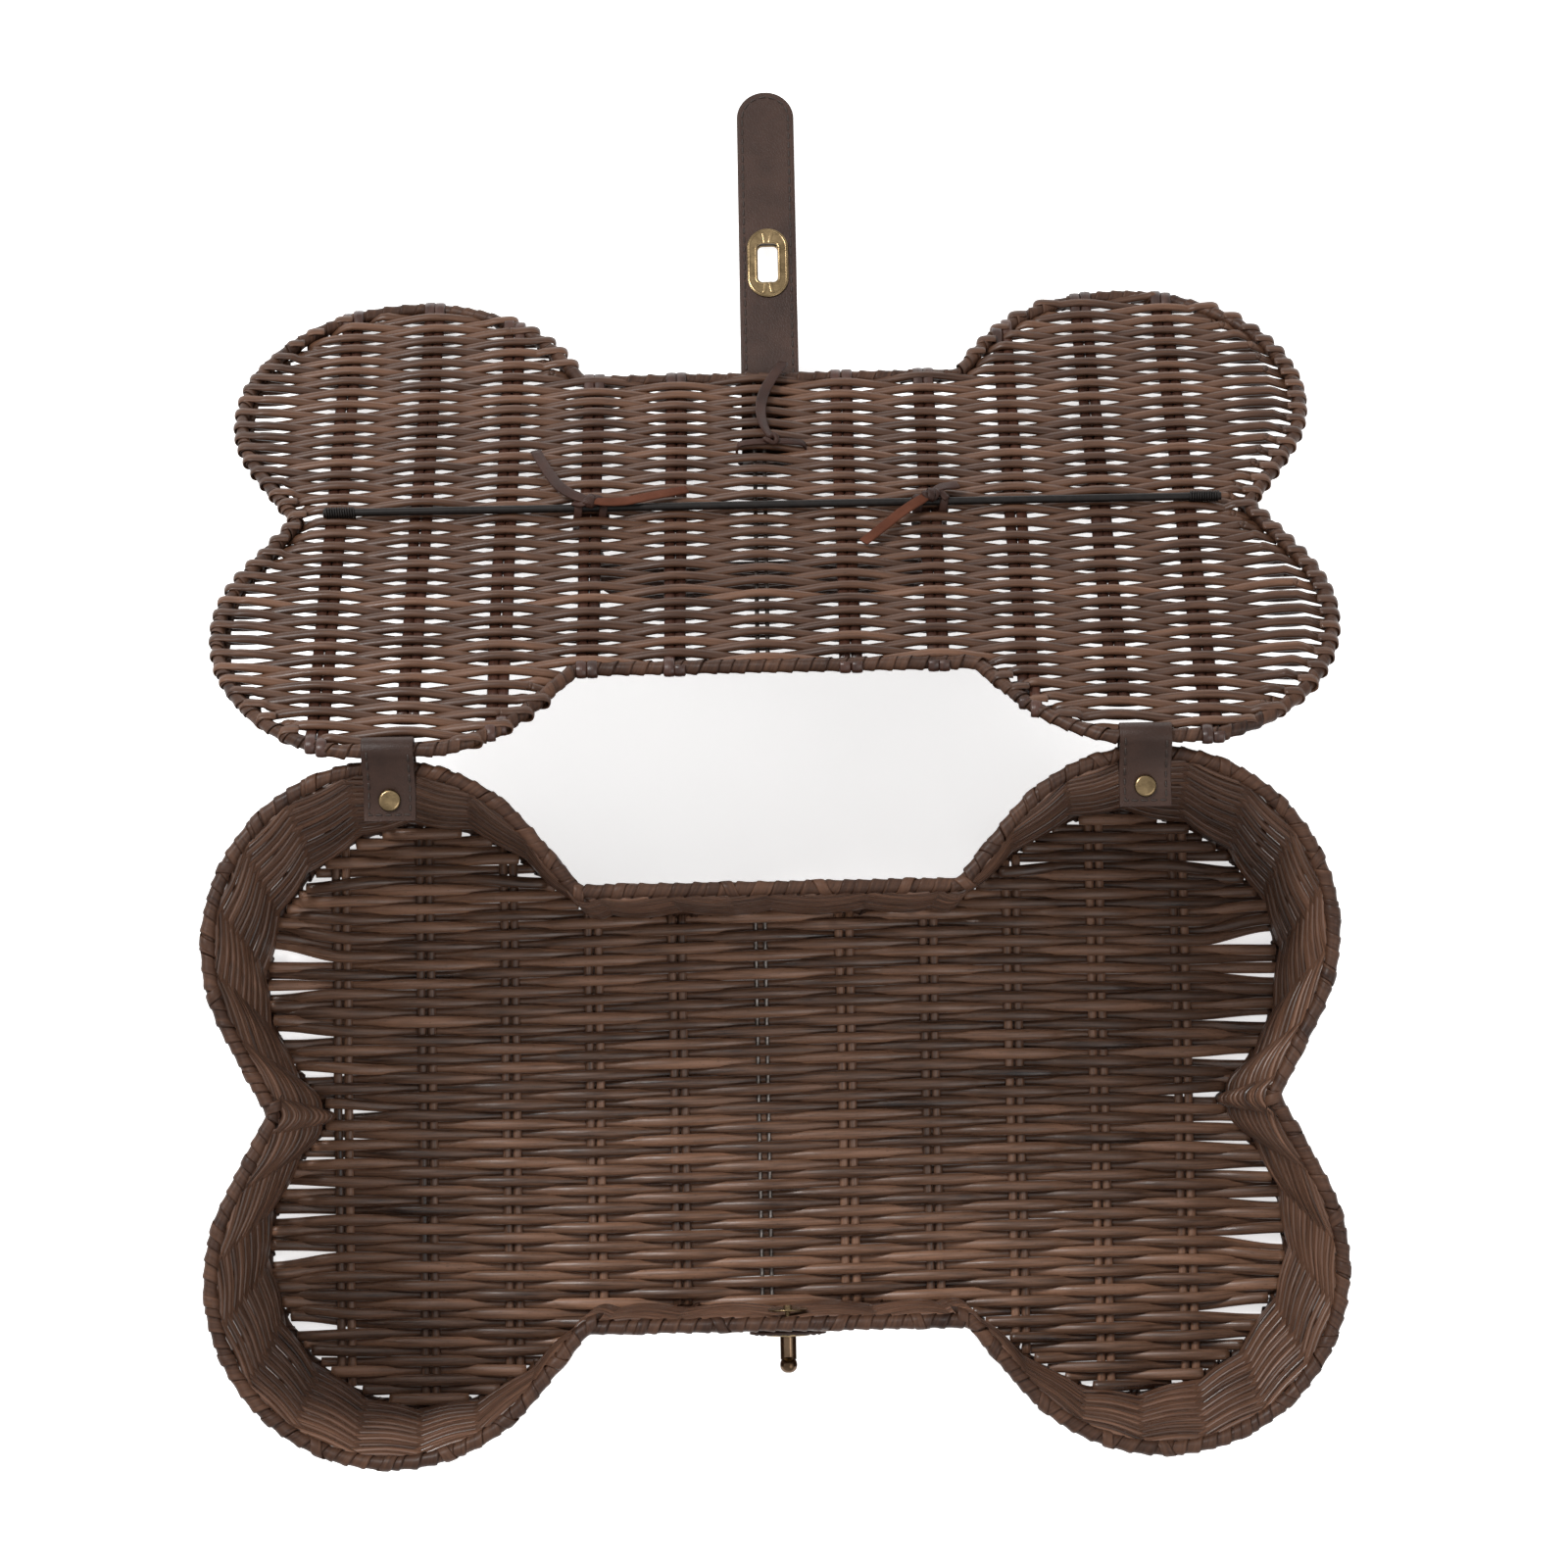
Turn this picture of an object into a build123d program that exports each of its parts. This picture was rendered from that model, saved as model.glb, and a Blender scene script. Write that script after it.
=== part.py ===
"""A dog-bone shaped wicker picnic basket with a hinged lid, a leather closure strap and a turn-lock.

Millimetres, +Z up. The origin is the middle of the base's underside. +X is to the right and +Y is to the
back, where the hinges are. The lid lies open behind the basket with its front edge on the same surface.
"""

from build123d import *
from dataclasses import dataclass
import math

# Basket
HEIGHT = 185.0  # surface to the top of the rim
ROD_R = 2.6  # bound rods of the rim and of the lid's border
CORE_R = 1.5  # steel wire inside those rods
HOOP_R = 2.5  # rod round the base
WALL_T = 7.0  # woven wall, over both layers of weavers
WALL_TOP = 176.0  # last weaver, a small gap below the rim
WALL_STAKE_R = 1.7
BASE_T = 7.6
STAKE_R = 1.7  # one stick of a pair in the base and lid
PAIR_HALF = 2.1  # from a pair's middle to each stick
BASE_PITCH = 37.0
LID_PITCH = 36.0
STAKE_OFFSET = -5.0  # the middle stake stands a little left of the centre line
WIRE_R = 0.9
GAP = 0.3  # between a piece and the one that it lies against
HOLE_PLAY = 0.15  # round a stake in its weave
CORNER_R = 6.0  # bend of a rod at a sharp corner

# Lid
LID_T = 6.4
LID_SHIFT = 4.0  # the soft hinges let the lid sit a little to the right
LID_FLAT = 3.0  # how much of the hinge-side lobes is flattened along the hinge line
AXIS_Y = 145.0
AXIS_Z = HEIGHT + GAP + 0.1 + LID_T / 2
CROSS_ROD_R = 1.7
CROSS_ROD_HALF = 190.0
END_WRAP = 14.0

# Hinge straps
HINGE_X = 152.0
HINGE_W = 21.0
LEATHER = 1.6
RIM_LOOP_R = 4.0
LID_LOOP_R = 3.8
TAIL_Y = (117.0, 130.0)  # free end, and where the two layers part
TAIL_Z = 181.6
RIVET_Y = 125.2
RIVET_CAP_R = 4.5
RIVET_CAP_T = 1.8
POST_R = 1.5

# Closure strap and turn-lock
LOCK_X = 4.0
STRAP_W = 25.4
STRAP_T = 2.6
STRAP_LENGTH = 138.0  # from its bend at the lid's edge to its round end
STRAP_ROOT = 60.0
BEND_GAP = 1.6  # on each side of the bend
EYELET_AT = 55.0
PLATE = (18.2, 32.8)
SLOT = (8.8, 18.6)
EYELET_FRONT_T = 1.2
EYELET_BACK_T = 0.8
PATCH = (31.0, 44.0)
PATCH_T = 1.2
BACK_PLATE = (16.0, 31.0)
BACK_PLATE_T = 0.8
LOCK_RIVET_R = 1.0
LOCK_RIVET_INSET = 3.6
COLLAR_R = 4.6
LOCK_PLATE_T = 1.0
NECK_R = 3.3
HEAD = (7.0, 13.0, 6.4)
HEAD_ROUND = 3.0

# Handle and laces
HANDLE_T = 1.9  # each of its two layers
HANDLE_HALF = 2 * LID_PITCH  # its laces straddle the second stake pair on each side
HANDLE_RISE = 38.0
LACE_R = 1.3
EYE_DROP = 8.0  # from the lid's middle plane out to the lace that carries the handle


@dataclass
class Bone:
    """Four round lobes, a straight waist between them at the back and front, and a notch in each end."""

    lobe_x: float
    lobe_y: float
    lobe_r: float
    waist_x: float
    waist_plus: float
    waist_minus: float
    notch_x: float

    def quarter(self, side_x, side_y, grow=0.0):
        """The quarter's points: waist corner, start, middle and end of the lobe's arc, and notch."""
        waist = self.waist_plus if side_y > 0 else self.waist_minus
        radius = self.lobe_r + grow
        near = self.touch_angle(self.waist_x, waist, -1)
        far = self.touch_angle(self.notch_x, 0.0, 1)
        corner_y = waist + grow
        corner_x = self.lobe_x + (radius - math.sin(near) * (corner_y - self.lobe_y)) / math.cos(near)
        notch_x = self.lobe_x + (radius + math.sin(far) * self.lobe_y) / math.cos(far)
        points = [(corner_x, corner_y)]
        for angle in (near, (near + far) / 2, far):
            points.append((self.lobe_x + radius * math.cos(angle), self.lobe_y + radius * math.sin(angle)))
        points.append((notch_x, 0.0))
        return [(side_x * x, side_y * y) for x, y in points]

    def touch_angle(self, x, y, turn):
        """Direction from the lobe's centre to the point where a line from (x, y) touches the lobe."""
        dx = x - self.lobe_x
        dy = y - self.lobe_y
        return math.atan2(dy, dx) + turn * math.acos(self.lobe_r / math.hypot(dx, dy))


BASE_LINE = Bone(154.0, 59.0, 70.5, 77.0, 87.8, 87.8, 197.0)
RIM_LINE = Bone(154.0, 67.0, 72.0, 77.0, 87.0, 87.0, 200.0)
LID_LINE = Bone(156.0, 69.5, 73.5, 82.0, 90.0, 94.5, 201.0)

RIM_Z = HEIGHT - ROD_R
LID_HALF = LID_LINE.lobe_y + LID_LINE.lobe_r - LID_FLAT  # lid's middle line to its hinge axis
LID_REACH = 2 * LID_HALF + LID_FLAT  # hinge axis to the front border's centre
LID_SLOPE = math.asin((AXIS_Z - ROD_R - GAP) / LID_REACH)
# In the lid's own plane, +Y runs from the hinge to the front edge and +Z is the lid's inner side.
LID_PLANE = Plane(
    origin=(LID_SHIFT, AXIS_Y, AXIS_Z),
    x_dir=(1, 0, 0),
    z_dir=(0, math.sin(LID_SLOPE), math.cos(LID_SLOPE)),
)
BEND_T = LID_HALF + LID_LINE.waist_plus + ROD_R + 2.6
BEND_M = -(LID_T / 2 + GAP + STRAP_T / 2)
BEND = LID_PLANE.from_local_coords(Vector(LOCK_X - LID_SHIFT, BEND_T, BEND_M))
STRAP_SLOPE = math.asin((BEND.Z - STRAP_T / 2 - GAP) / STRAP_LENGTH)
STRAP_PLANE = Plane(
    origin=BEND,
    x_dir=(1, 0, 0),
    z_dir=(0, math.sin(STRAP_SLOPE), math.cos(STRAP_SLOPE)),
)
# With the lid shut, the strap hangs past the lock plate and leans out just enough to clear it.
SHUT_BEND_Y = AXIS_Y - BEND_T
SHUT_BEND_Z = AXIS_Z - BEND_M
PATCH_BACK_Y = -(RIM_LINE.waist_minus + WALL_T / 2 + 0.6)
PLATE_FRONT_Y = PATCH_BACK_Y - PATCH_T - LOCK_PLATE_T
SHUT_LEAN = math.asin(
    (SHUT_BEND_Y - PLATE_FRONT_Y + GAP + EYELET_BACK_T + STRAP_T / 2) / (EYELET_AT - PLATE[1] / 2)
)
LOCK_Z = SHUT_BEND_Z - EYELET_AT * math.cos(SHUT_LEAN)
STRAP_OUTER_Y = SHUT_BEND_Y - (EYELET_AT + SLOT[1] / 2) * math.sin(SHUT_LEAN) - STRAP_T / 2 - EYELET_FRONT_T
HEAD_BACK_Y = STRAP_OUTER_Y - GAP


def save(name, shape):
    """Write one node."""
    solids = shape.solids()
    export_step(solids[0] if len(solids) == 1 else Compound(solids), f"parts/{name}.step")


def joined(parts):
    """A group of separate solids."""
    return Compound(list(parts))


def mixed(low, high, share):
    """An outline between two others."""
    values = [a + (b - a) * share for a, b in zip(vars(low).values(), vars(high).values())]
    return Bone(*values)


def wall_line(z):
    """The wall's middle line at a height."""
    return mixed(BASE_LINE, RIM_LINE, (z - HOOP_R) / (RIM_Z - HOOP_R))


def bone_wire(bone, grow=0.0, z=0.0):
    """The closed outline, anticlockwise from the middle of its +Y waist."""
    edges = []

    def line(start, end):
        edges.append(Edge.make_line((*start, z), (*end, z)))

    def side(points):
        corner, start, middle, end, last = points
        line(corner, start)
        edges.append(Edge.make_three_point_arc((*start, z), (*middle, z), (*end, z)))
        line(end, last)

    quarters = [bone.quarter(-1, 1, grow), bone.quarter(-1, -1, grow)[::-1]]
    quarters += [bone.quarter(1, -1, grow), bone.quarter(1, 1, grow)[::-1]]
    top_middle = (0.0, bone.waist_plus + grow)
    line(top_middle, quarters[0][0])
    side(quarters[0])
    side(quarters[1])
    line(quarters[1][-1], quarters[2][0])
    side(quarters[2])
    side(quarters[3])
    line(quarters[3][-1], top_middle)
    return Wire(edges)


def soft_corners(face, radius):
    """The outline of a bone face with its waist corners and notches rounded to the rod's bend."""
    sharp = []
    for vertex in face.vertices():
        edges = [e for e in face.edges() if vertex in e.vertices()]
        turn = tangent_turn(edges, vertex)
        if turn > 5.0:
            sharp.append(vertex)
    return fillet(sharp, radius).face().outer_wire()


def tangent_turn(edges, vertex):
    """Degrees by which the outline turns at a vertex."""
    directions = []
    for edge in edges:
        at_start = (edge.position_at(0) - Vector(*vertex)).length < 1e-6
        tangent = edge.tangent_at(0) if at_start else edge.tangent_at(1) * -1
        directions.append(tangent)
    return 180.0 - directions[0].get_angle(directions[1])


def tube(path, outer, inner=0.0):
    """A round rod, or a sleeve, along a closed smooth outline."""
    plane = Plane(origin=path @ 0, z_dir=path % 0)
    section = plane * Circle(outer)
    if inner:
        section -= plane * Circle(inner)
    return sweep(section, path=path)


def rod(start, end, radius):
    """A straight round stick."""
    start = Vector(*start)
    end = Vector(*end)
    return Solid.make_cylinder(radius, (end - start).length, Plane(origin=start, z_dir=end - start))


def lace(points, bend=2.0):
    """A round leather lace through points, with soft bends."""
    path = FilletPolyline(*points, radius=bend)
    plane = Plane(origin=path @ 0, z_dir=path % 0)
    return sweep(plane * Circle(LACE_R), path=path)


def stadium(width, length):
    """A flat plate's outline with half-round ends, long way along Y."""
    return SlotOverall(length, width, rotation=90)


# Base


def stake_pairs(pitch, reach, z, radius):
    """Pairs of long sticks along Y. The middle place is left to the wires."""
    sticks = []
    for k in range(-5, 6):
        if k == 0:
            continue
        for side in (-1, 1):
            x = STAKE_OFFSET + k * pitch + side * PAIR_HALF
            sticks.append(rod((x, -reach, z), (x, reach, z), radius))
    return joined(sticks)


def wire_pair(reach, z, radius):
    """Two thin steel wires along Y in the middle place."""
    wires = []
    for side in (-1, 1):
        x = STAKE_OFFSET + side * PAIR_HALF
        wires.append(rod((x, -reach, z), (x, reach, z), radius))
    return joined(wires)


def make_base():
    reach = 160.0
    middle = BASE_T / 2
    plate = extrude(Face(bone_wire(BASE_LINE, -(WALL_T / 2 + GAP))), BASE_T)
    core = extrude(Face(bone_wire(BASE_LINE, -(WALL_T / 2 + 2 * GAP))), BASE_T)
    hoop_path = soft_corners(Face(bone_wire(BASE_LINE, 0.0, HOOP_R)), CORNER_R)
    weave = plate - stake_pairs(BASE_PITCH, reach, middle, STAKE_R + HOLE_PLAY)
    weave -= wire_pair(reach, middle, WIRE_R + HOLE_PLAY)
    save("base_hoop", tube(hoop_path, HOOP_R))
    save("base_weave", weave)
    save("base_stakes", core & stake_pairs(BASE_PITCH, reach, middle, STAKE_R))
    save("base_centre_wires", core & wire_pair(reach, middle, WIRE_R))


# Wall and rim


def stake_points(bone):
    """Where the wall's stakes stand on an outline: the waist, the corners, round each lobe, the notches."""
    points = []
    for side_x in (-1, 1):
        points.append((side_x * bone.notch_x, 0.0))
        for side_y in (-1, 1):
            corner, start, _, end, notch = bone.quarter(side_x, side_y)
            points += [(side_x * 20.0, corner[1]), (side_x * 58.0, corner[1]), corner]
            points.append(((corner[0] + start[0]) / 2, (corner[1] + start[1]) / 2))
            centre = (side_x * bone.lobe_x, side_y * bone.lobe_y)
            first = bone.touch_angle(bone.waist_x, abs(corner[1]), -1)
            last = bone.touch_angle(bone.notch_x, 0.0, 1)
            for k in range(8):
                angle = first + (last - first) * (k + 0.5) / 8
                x = centre[0] + side_x * bone.lobe_r * math.cos(angle)
                points.append((x, centre[1] + side_y * bone.lobe_r * math.sin(angle)))
            points.append(((end[0] + notch[0]) / 2, (end[1] + notch[1]) / 2))
    return points


def wall_sticks(radius, low, high):
    feet = stake_points(wall_line(low))
    heads = stake_points(wall_line(high))
    return joined(rod((*a, low), (*b, high), radius) for a, b in zip(feet, heads))


def hinge_slots():
    """Room below the rim where a hinge strap passes through the wall."""
    slots = []
    for side in (-1, 1):
        slot = Box(HINGE_W + 2.0, 60.0, 20.0, align=(Align.CENTER, Align.CENTER, Align.MIN))
        slots.append(Pos(side * HINGE_X, RIM_LINE.lobe_y + RIM_LINE.lobe_r, WALL_TOP) * slot)
    return joined(slots)


def wall_skin(grow, low, high):
    wires = [bone_wire(wall_line(z), grow, z) for z in (low, high)]
    return Solid.make_loft(wires, ruled=True)


def lock_rivet_places():
    return [LOCK_Z + side * (PLATE[1] / 2 - LOCK_RIVET_INSET) for side in (-1, 1)]


def make_wall():
    low = 2 * HOOP_R + GAP
    shell = wall_skin(WALL_T / 2, low, WALL_TOP) - wall_skin(-WALL_T / 2, low, WALL_TOP)
    shell -= wall_sticks(WALL_STAKE_R + HOLE_PLAY, low - 1.0, WALL_TOP + 1.0)
    for z in lock_rivet_places():
        shell -= rod((LOCK_X, -110, z), (LOCK_X, -70, z), 1.2)
    rim_path = soft_corners(Face(bone_wire(RIM_LINE, 0.0, RIM_Z)), CORNER_R)
    stakes = wall_sticks(WALL_STAKE_R, low, RIM_Z - ROD_R - 0.1) - hinge_slots()
    save("wall_weave", shell)
    save("wall_stakes", stakes)
    save("rim_wire", tube(rim_path, CORE_R))
    save("rim_binding", tube(rim_path, ROD_R, CORE_R + 0.05))


# Hinge straps


def hinge_profile(rim_r, lid_r, tail_half):
    """Section of the loop round the rim's rod and the lid's border, across X."""
    rim_y = RIM_LINE.lobe_y + RIM_LINE.lobe_r - 0.5
    rim_edge = Pos(rim_y, RIM_Z) * Edge.make_circle(rim_r)
    lid_edge = Pos(AXIS_Y, AXIS_Z) * Edge.make_circle(lid_r)
    low = (TAIL_Y[1], TAIL_Z - tail_half, 0)
    high = (TAIL_Y[1], TAIL_Z + tail_half, 0)
    return make_hull([rim_edge, lid_edge, Edge.make_line(low, high)])


def make_hinges():
    outer = hinge_profile(RIM_LOOP_R + LEATHER, LID_LOOP_R + LEATHER, LEATHER)
    inner = hinge_profile(RIM_LOOP_R, LID_LOOP_R, 0.05)
    tail_middle = (TAIL_Y[0] + TAIL_Y[1]) / 2
    tail = Pos(tail_middle, TAIL_Z) * Rectangle(TAIL_Y[1] - TAIL_Y[0] + 0.2, 2 * LEATHER)
    profile = outer - inner + tail
    across = Plane(origin=(0, 0, 0), x_dir=(0, 1, 0), z_dir=(1, 0, 0))
    caps = []
    posts = []
    for name, side in (("hinge_strap_left", -1), ("hinge_strap_right", 1)):
        x = side * HINGE_X
        strap = Pos(x - HINGE_W / 2, 0, 0) * (across * extrude(profile, HINGE_W))
        strap -= rod((x, RIVET_Y, TAIL_Z - 9), (x, RIVET_Y, TAIL_Z + 9), POST_R + 0.05)
        save(name, strap)
        for way in (-1, 1):
            caps.append(rivet_cap(x, way))
        half = LEATHER + 0.6
        posts.append(rod((x, RIVET_Y, TAIL_Z - half), (x, RIVET_Y, TAIL_Z + half), POST_R))
    save("hinge_rivet_caps", joined(caps))
    save("hinge_rivet_posts", joined(posts))


def rivet_cap(x, way):
    """A shallow domed cap on one side of a hinge strap's tail, hollow for the post."""
    cap = Cylinder(RIVET_CAP_R, RIVET_CAP_T, align=(Align.CENTER, Align.CENTER, Align.MIN))
    cap = fillet(cap.edges().group_by(Axis.Z)[-1], 1.2)
    cap -= Cylinder(POST_R + 0.05, 0.7, align=(Align.CENTER, Align.CENTER, Align.MIN))
    flip = 0 if way > 0 else 180
    return Pos(x, RIVET_Y, TAIL_Z + way * LEATHER) * (Rot(flip, 0, 0) * cap)


# Turn-lock on the front wall

FRONT = Plane(origin=(LOCK_X, 0, LOCK_Z), x_dir=(1, 0, 0), z_dir=(0, -1, 0))


def on_front(shape, y, thickness):
    """A flat piece on the front wall, from y outwards."""
    return FRONT.offset(-y) * extrude(shape, thickness)


def make_lock():
    patch = on_front(Rectangle(*PATCH), PATCH_BACK_Y, PATCH_T)
    patch = fillet(patch.edges().filter_by(Axis.Y), 8.0)
    plate_back = PATCH_BACK_Y - PATCH_T
    plate = on_front(stadium(*PLATE), plate_back, LOCK_PLATE_T)
    inner_y = -(RIM_LINE.waist_minus + 0.3 - WALL_T / 2) + 1.2
    back = on_front(stadium(*BACK_PLATE), inner_y, BACK_PLATE_T)
    rivets = []
    for z in lock_rivet_places():
        hole = rod((LOCK_X, -110, z), (LOCK_X, -70, z), LOCK_RIVET_R + 0.05)
        patch -= hole
        plate -= hole
        back -= hole
        shank = rod((LOCK_X, PLATE_FRONT_Y, z), (LOCK_X, inner_y, z), LOCK_RIVET_R)
        head = rod((LOCK_X, PLATE_FRONT_Y - 0.25, z), (LOCK_X, PLATE_FRONT_Y, z), 1.8)
        tail = rod((LOCK_X, inner_y, z), (LOCK_X, inner_y + BACK_PLATE_T, z), 1.8)
        rivets.append(shank + head + tail)
    collar_y = plate_back + PATCH_T / 2
    patch -= rod((LOCK_X, -110, LOCK_Z), (LOCK_X, -70, LOCK_Z), COLLAR_R + GAP)
    plate -= rod((LOCK_X, -110, LOCK_Z), (LOCK_X, -70, LOCK_Z), NECK_R + 0.06)
    save("lock_patch", patch)
    save("lock_plate", plate)
    save("lock_back_plate", back)
    save("lock_rivets", joined(rivets))
    neck = rod((LOCK_X, collar_y, LOCK_Z), (LOCK_X, HEAD_BACK_Y - 1.0, LOCK_Z), NECK_R)
    collar = rod((LOCK_X, collar_y, LOCK_Z), (LOCK_X, plate_back + 0.05, LOCK_Z), COLLAR_R)
    head = on_front(stadium(HEAD[0], HEAD[1]), HEAD_BACK_Y, HEAD[2])
    head = fillet(head.edges(), HEAD_ROUND)
    save("lock_knob", neck + collar + head)


# Lid


def on_lid(shape):
    return LID_PLANE * shape


def lid_face(grow):
    """The lid's outline in its own plane, flat along the hinge line."""
    whole = Pos(0, LID_HALF) * Face(bone_wire(LID_LINE, grow))
    keep = Pos(0, -grow) * Rectangle(600, 600, align=(Align.CENTER, Align.MIN))
    return (whole & keep).face()


def hinge_windows():
    """Gaps in the lid's weave beside the border, where the hinge straps pass."""
    windows = []
    for side in (-1, 1):
        window = Box(HINGE_W + 6.0, 20.5, 30.0, align=(Align.CENTER, Align.MIN, Align.CENTER))
        windows.append(Pos(side * HINGE_X - LID_SHIFT, -4.0, 0) * window)
    return joined(windows)


def lid_sticks(radius):
    return Pos(0, LID_HALF, 0) * stake_pairs(LID_PITCH, 200.0, 0.0, radius)


def lid_wires(radius):
    return Pos(0, LID_HALF, 0) * wire_pair(200.0, 0.0, radius)


def knot_block():
    """A drawn-up knot, as a small softened block."""
    return fillet(Box(KNOT, KNOT, KNOT).edges(), KNOT_ROUND)


def tie_loop(x, tails):
    """A lace over the cross rod, through the weave and round under it, with its knot on the rod."""
    over = CROSS_ROD_M + CROSS_ROD_R + 0.4 + LACE_R
    beside = LID_HALF + CROSS_ROD_R + 0.4 + LACE_R
    half = LACE_LEG
    knot = (x, LID_HALF, over + 1.4)
    route = [(x, LID_HALF, over + 1.0), (x - half, beside, over), (x - half, beside, -4.6)]
    route += [(x - half, LID_HALF, -EYE_DROP), (x + half, LID_HALF, -EYE_DROP)]
    route += [(x + half, beside, -4.6), (x + half, beside, over), (x, LID_HALF, over + 1.0)]
    tie = lace(route, 1.6) + Pos(*knot) * knot_block()
    for tail in tails:
        tie += lace([knot] + [(x + a, LID_HALF + b, c) for a, b, c in tail], 6.0)
    return tie


CROSS_ROD_M = LID_T / 2 + GAP + CROSS_ROD_R
CENTRE_LACE_T = BEND_T - STRAP_ROOT + 7.0
LACE_LEG = 5.6  # from a tie's middle to each of its two legs
LACE_HOLE = 3.4
KNOT = 5.2
KNOT_ROUND = 1.2
# Loose ends of the laces: steps from the knot along X and along the lid, with the height over its middle.
TAIL_M = LID_T / 2 + GAP + LACE_R + 0.4
LEFT_TAILS = (
    ((-8.0, 14.0, 8.4), (-15.0, 27.0, TAIL_M), (-23.0, 41.0, TAIL_M)),
    ((10.0, -2.5, 10.6), (26.0, 4.0, 8.8), (41.0, 10.0, TAIL_M)),
)
RIGHT_TAILS = (
    ((-9.0, -7.5, 9.0), (-17.0, -15.0, TAIL_M), (-26.0, -26.0, TAIL_M)),
    ((5.0, 6.0, 9.0), (8.0, 12.0, 7.0)),
)


def centre_tie():
    """The lace that holds the strap's root: through the weave, under the root, and a long loose end."""
    x = LOCK_X - LID_SHIFT
    t = CENTRE_LACE_T
    half = STRAP_W / 2 + GAP + LACE_R
    under = BEND_M - STRAP_T / 2 - GAP - LACE_R
    over = LID_T / 2 + GAP + LACE_R
    route = [(x, t, over + 0.6), (x - half, t, over), (x - half, t, under), (x + half, t, under)]
    route += [(x + half, t, over), (x, t, over + 0.6)]
    tie = lace(route, 2.0) + Pos(x, t, over + 1.4) * knot_block()
    end = [(x, t, over + 1.4), (x - 2, t + 14, over + 1.6), (x - 1, t + 32, over + 2.5)]
    end += [(x + 3, t + 44, over + 3.0)]
    return tie + lace(end, 12.0)


def make_lid():
    border_path = soft_corners(lid_face(0.0), CORNER_R)
    plate = extrude(lid_face(-(ROD_R + GAP)), LID_T / 2, both=True)
    core = extrude(lid_face(-(ROD_R + 2 * GAP)), LID_T / 2, both=True)
    left = tie_loop(STAKE_OFFSET - HANDLE_HALF, LEFT_TAILS)
    right = tie_loop(STAKE_OFFSET + HANDLE_HALF, RIGHT_TAILS)
    centre = centre_tie()
    weave = plate - hinge_windows() - lid_sticks(STAKE_R + HOLE_PLAY) - lid_wires(WIRE_R + HOLE_PLAY)
    for side in (-1, 1):
        middle = STAKE_OFFSET + side * HANDLE_HALF
        for x in (middle - LACE_LEG, middle + LACE_LEG):
            weave -= Pos(x, LID_HALF + 2.2, 0) * Box(LACE_HOLE, 7.6, 2 * LID_T)
        leg = LOCK_X - LID_SHIFT + side * (STRAP_W / 2 + GAP + LACE_R)
        weave -= Pos(leg, CENTRE_LACE_T, 0) * Box(LACE_HOLE, LACE_HOLE, 2 * LID_T)
    sticks = (core & lid_sticks(STAKE_R)) - hinge_windows()
    save("lid_border_wire", on_lid(tube(border_path, CORE_R)))
    save("lid_border_binding", on_lid(tube(border_path, ROD_R, CORE_R + 0.05)))
    save("lid_weave", on_lid(weave))
    save("lid_stakes", on_lid(sticks))
    save("lid_centre_wires", on_lid(core & lid_wires(WIRE_R)))
    ends = CROSS_ROD_HALF
    cross = rod((-ends, LID_HALF, CROSS_ROD_M), (ends, LID_HALF, CROSS_ROD_M), CROSS_ROD_R)
    wraps = []
    for side in (-1, 1):
        start = (side * (ends - END_WRAP), LID_HALF, CROSS_ROD_M)
        end = (side * (ends - 0.5), LID_HALF, CROSS_ROD_M)
        wraps.append(rod(start, end, CROSS_ROD_R + 0.25) - rod(start, end, CROSS_ROD_R + 0.02))
    save("lid_cross_rod", on_lid(cross))
    save("cross_rod_end_wraps", on_lid(joined(wraps)))
    save("lace_left", on_lid(left))
    save("lace_right", on_lid(right))
    save("lace_centre", on_lid(centre))


# Strap


def make_strap():
    root_x = LOCK_X - LID_SHIFT
    root_length = STRAP_ROOT - BEND_GAP
    root = Box(STRAP_W, root_length, STRAP_T)
    root = fillet(root.edges().filter_by(Axis.Z).sort_by(Axis.Y)[:2], 5.0)
    save("strap_root", on_lid(Pos(root_x, BEND_T - BEND_GAP - root_length / 2, BEND_M) * root))
    straight = STRAP_LENGTH - STRAP_W / 2
    outline = Pos(0, (straight + BEND_GAP) / 2) * Rectangle(STRAP_W, straight - BEND_GAP)
    outline += Pos(0, straight) * Circle(STRAP_W / 2)
    outline -= Pos(0, EYELET_AT) * stadium(SLOT[0] + 0.6, SLOT[1] + 0.6)
    ring = Pos(0, EYELET_AT) * (stadium(*PLATE) - stadium(*SLOT))
    half = STRAP_T / 2
    save("strap_leather", STRAP_PLANE * (Pos(0, 0, -half) * extrude(outline, half)))
    save("strap_lining", STRAP_PLANE * extrude(outline, half))
    save("eyelet_front", STRAP_PLANE * (Pos(0, 0, -half - EYELET_FRONT_T) * extrude(ring, EYELET_FRONT_T)))
    save("eyelet_back", STRAP_PLANE * (Pos(0, 0, half) * extrude(ring, EYELET_BACK_T)))


# Handle


def handle_outline():
    """The flat handle seen from the front: two legs and a wider grip between them."""
    leg = 4.0
    outer = HANDLE_HALF + leg
    inner = HANDLE_HALF - leg
    top = -1.0
    outside = FilletPolyline(
        (-outer, top), (-outer, -HANDLE_RISE), (outer, -HANDLE_RISE), (outer, top), radius=22.0
    )
    inside = FilletPolyline((inner, top), (inner, -20.0), (-inner, -20.0), (-inner, top), radius=9.0)
    feet = [Line((outer, top), (inner, top)), Line((-inner, top), (-outer, top))]
    return make_face([*outside.edges(), feet[0], *inside.edges(), feet[1]])


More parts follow.
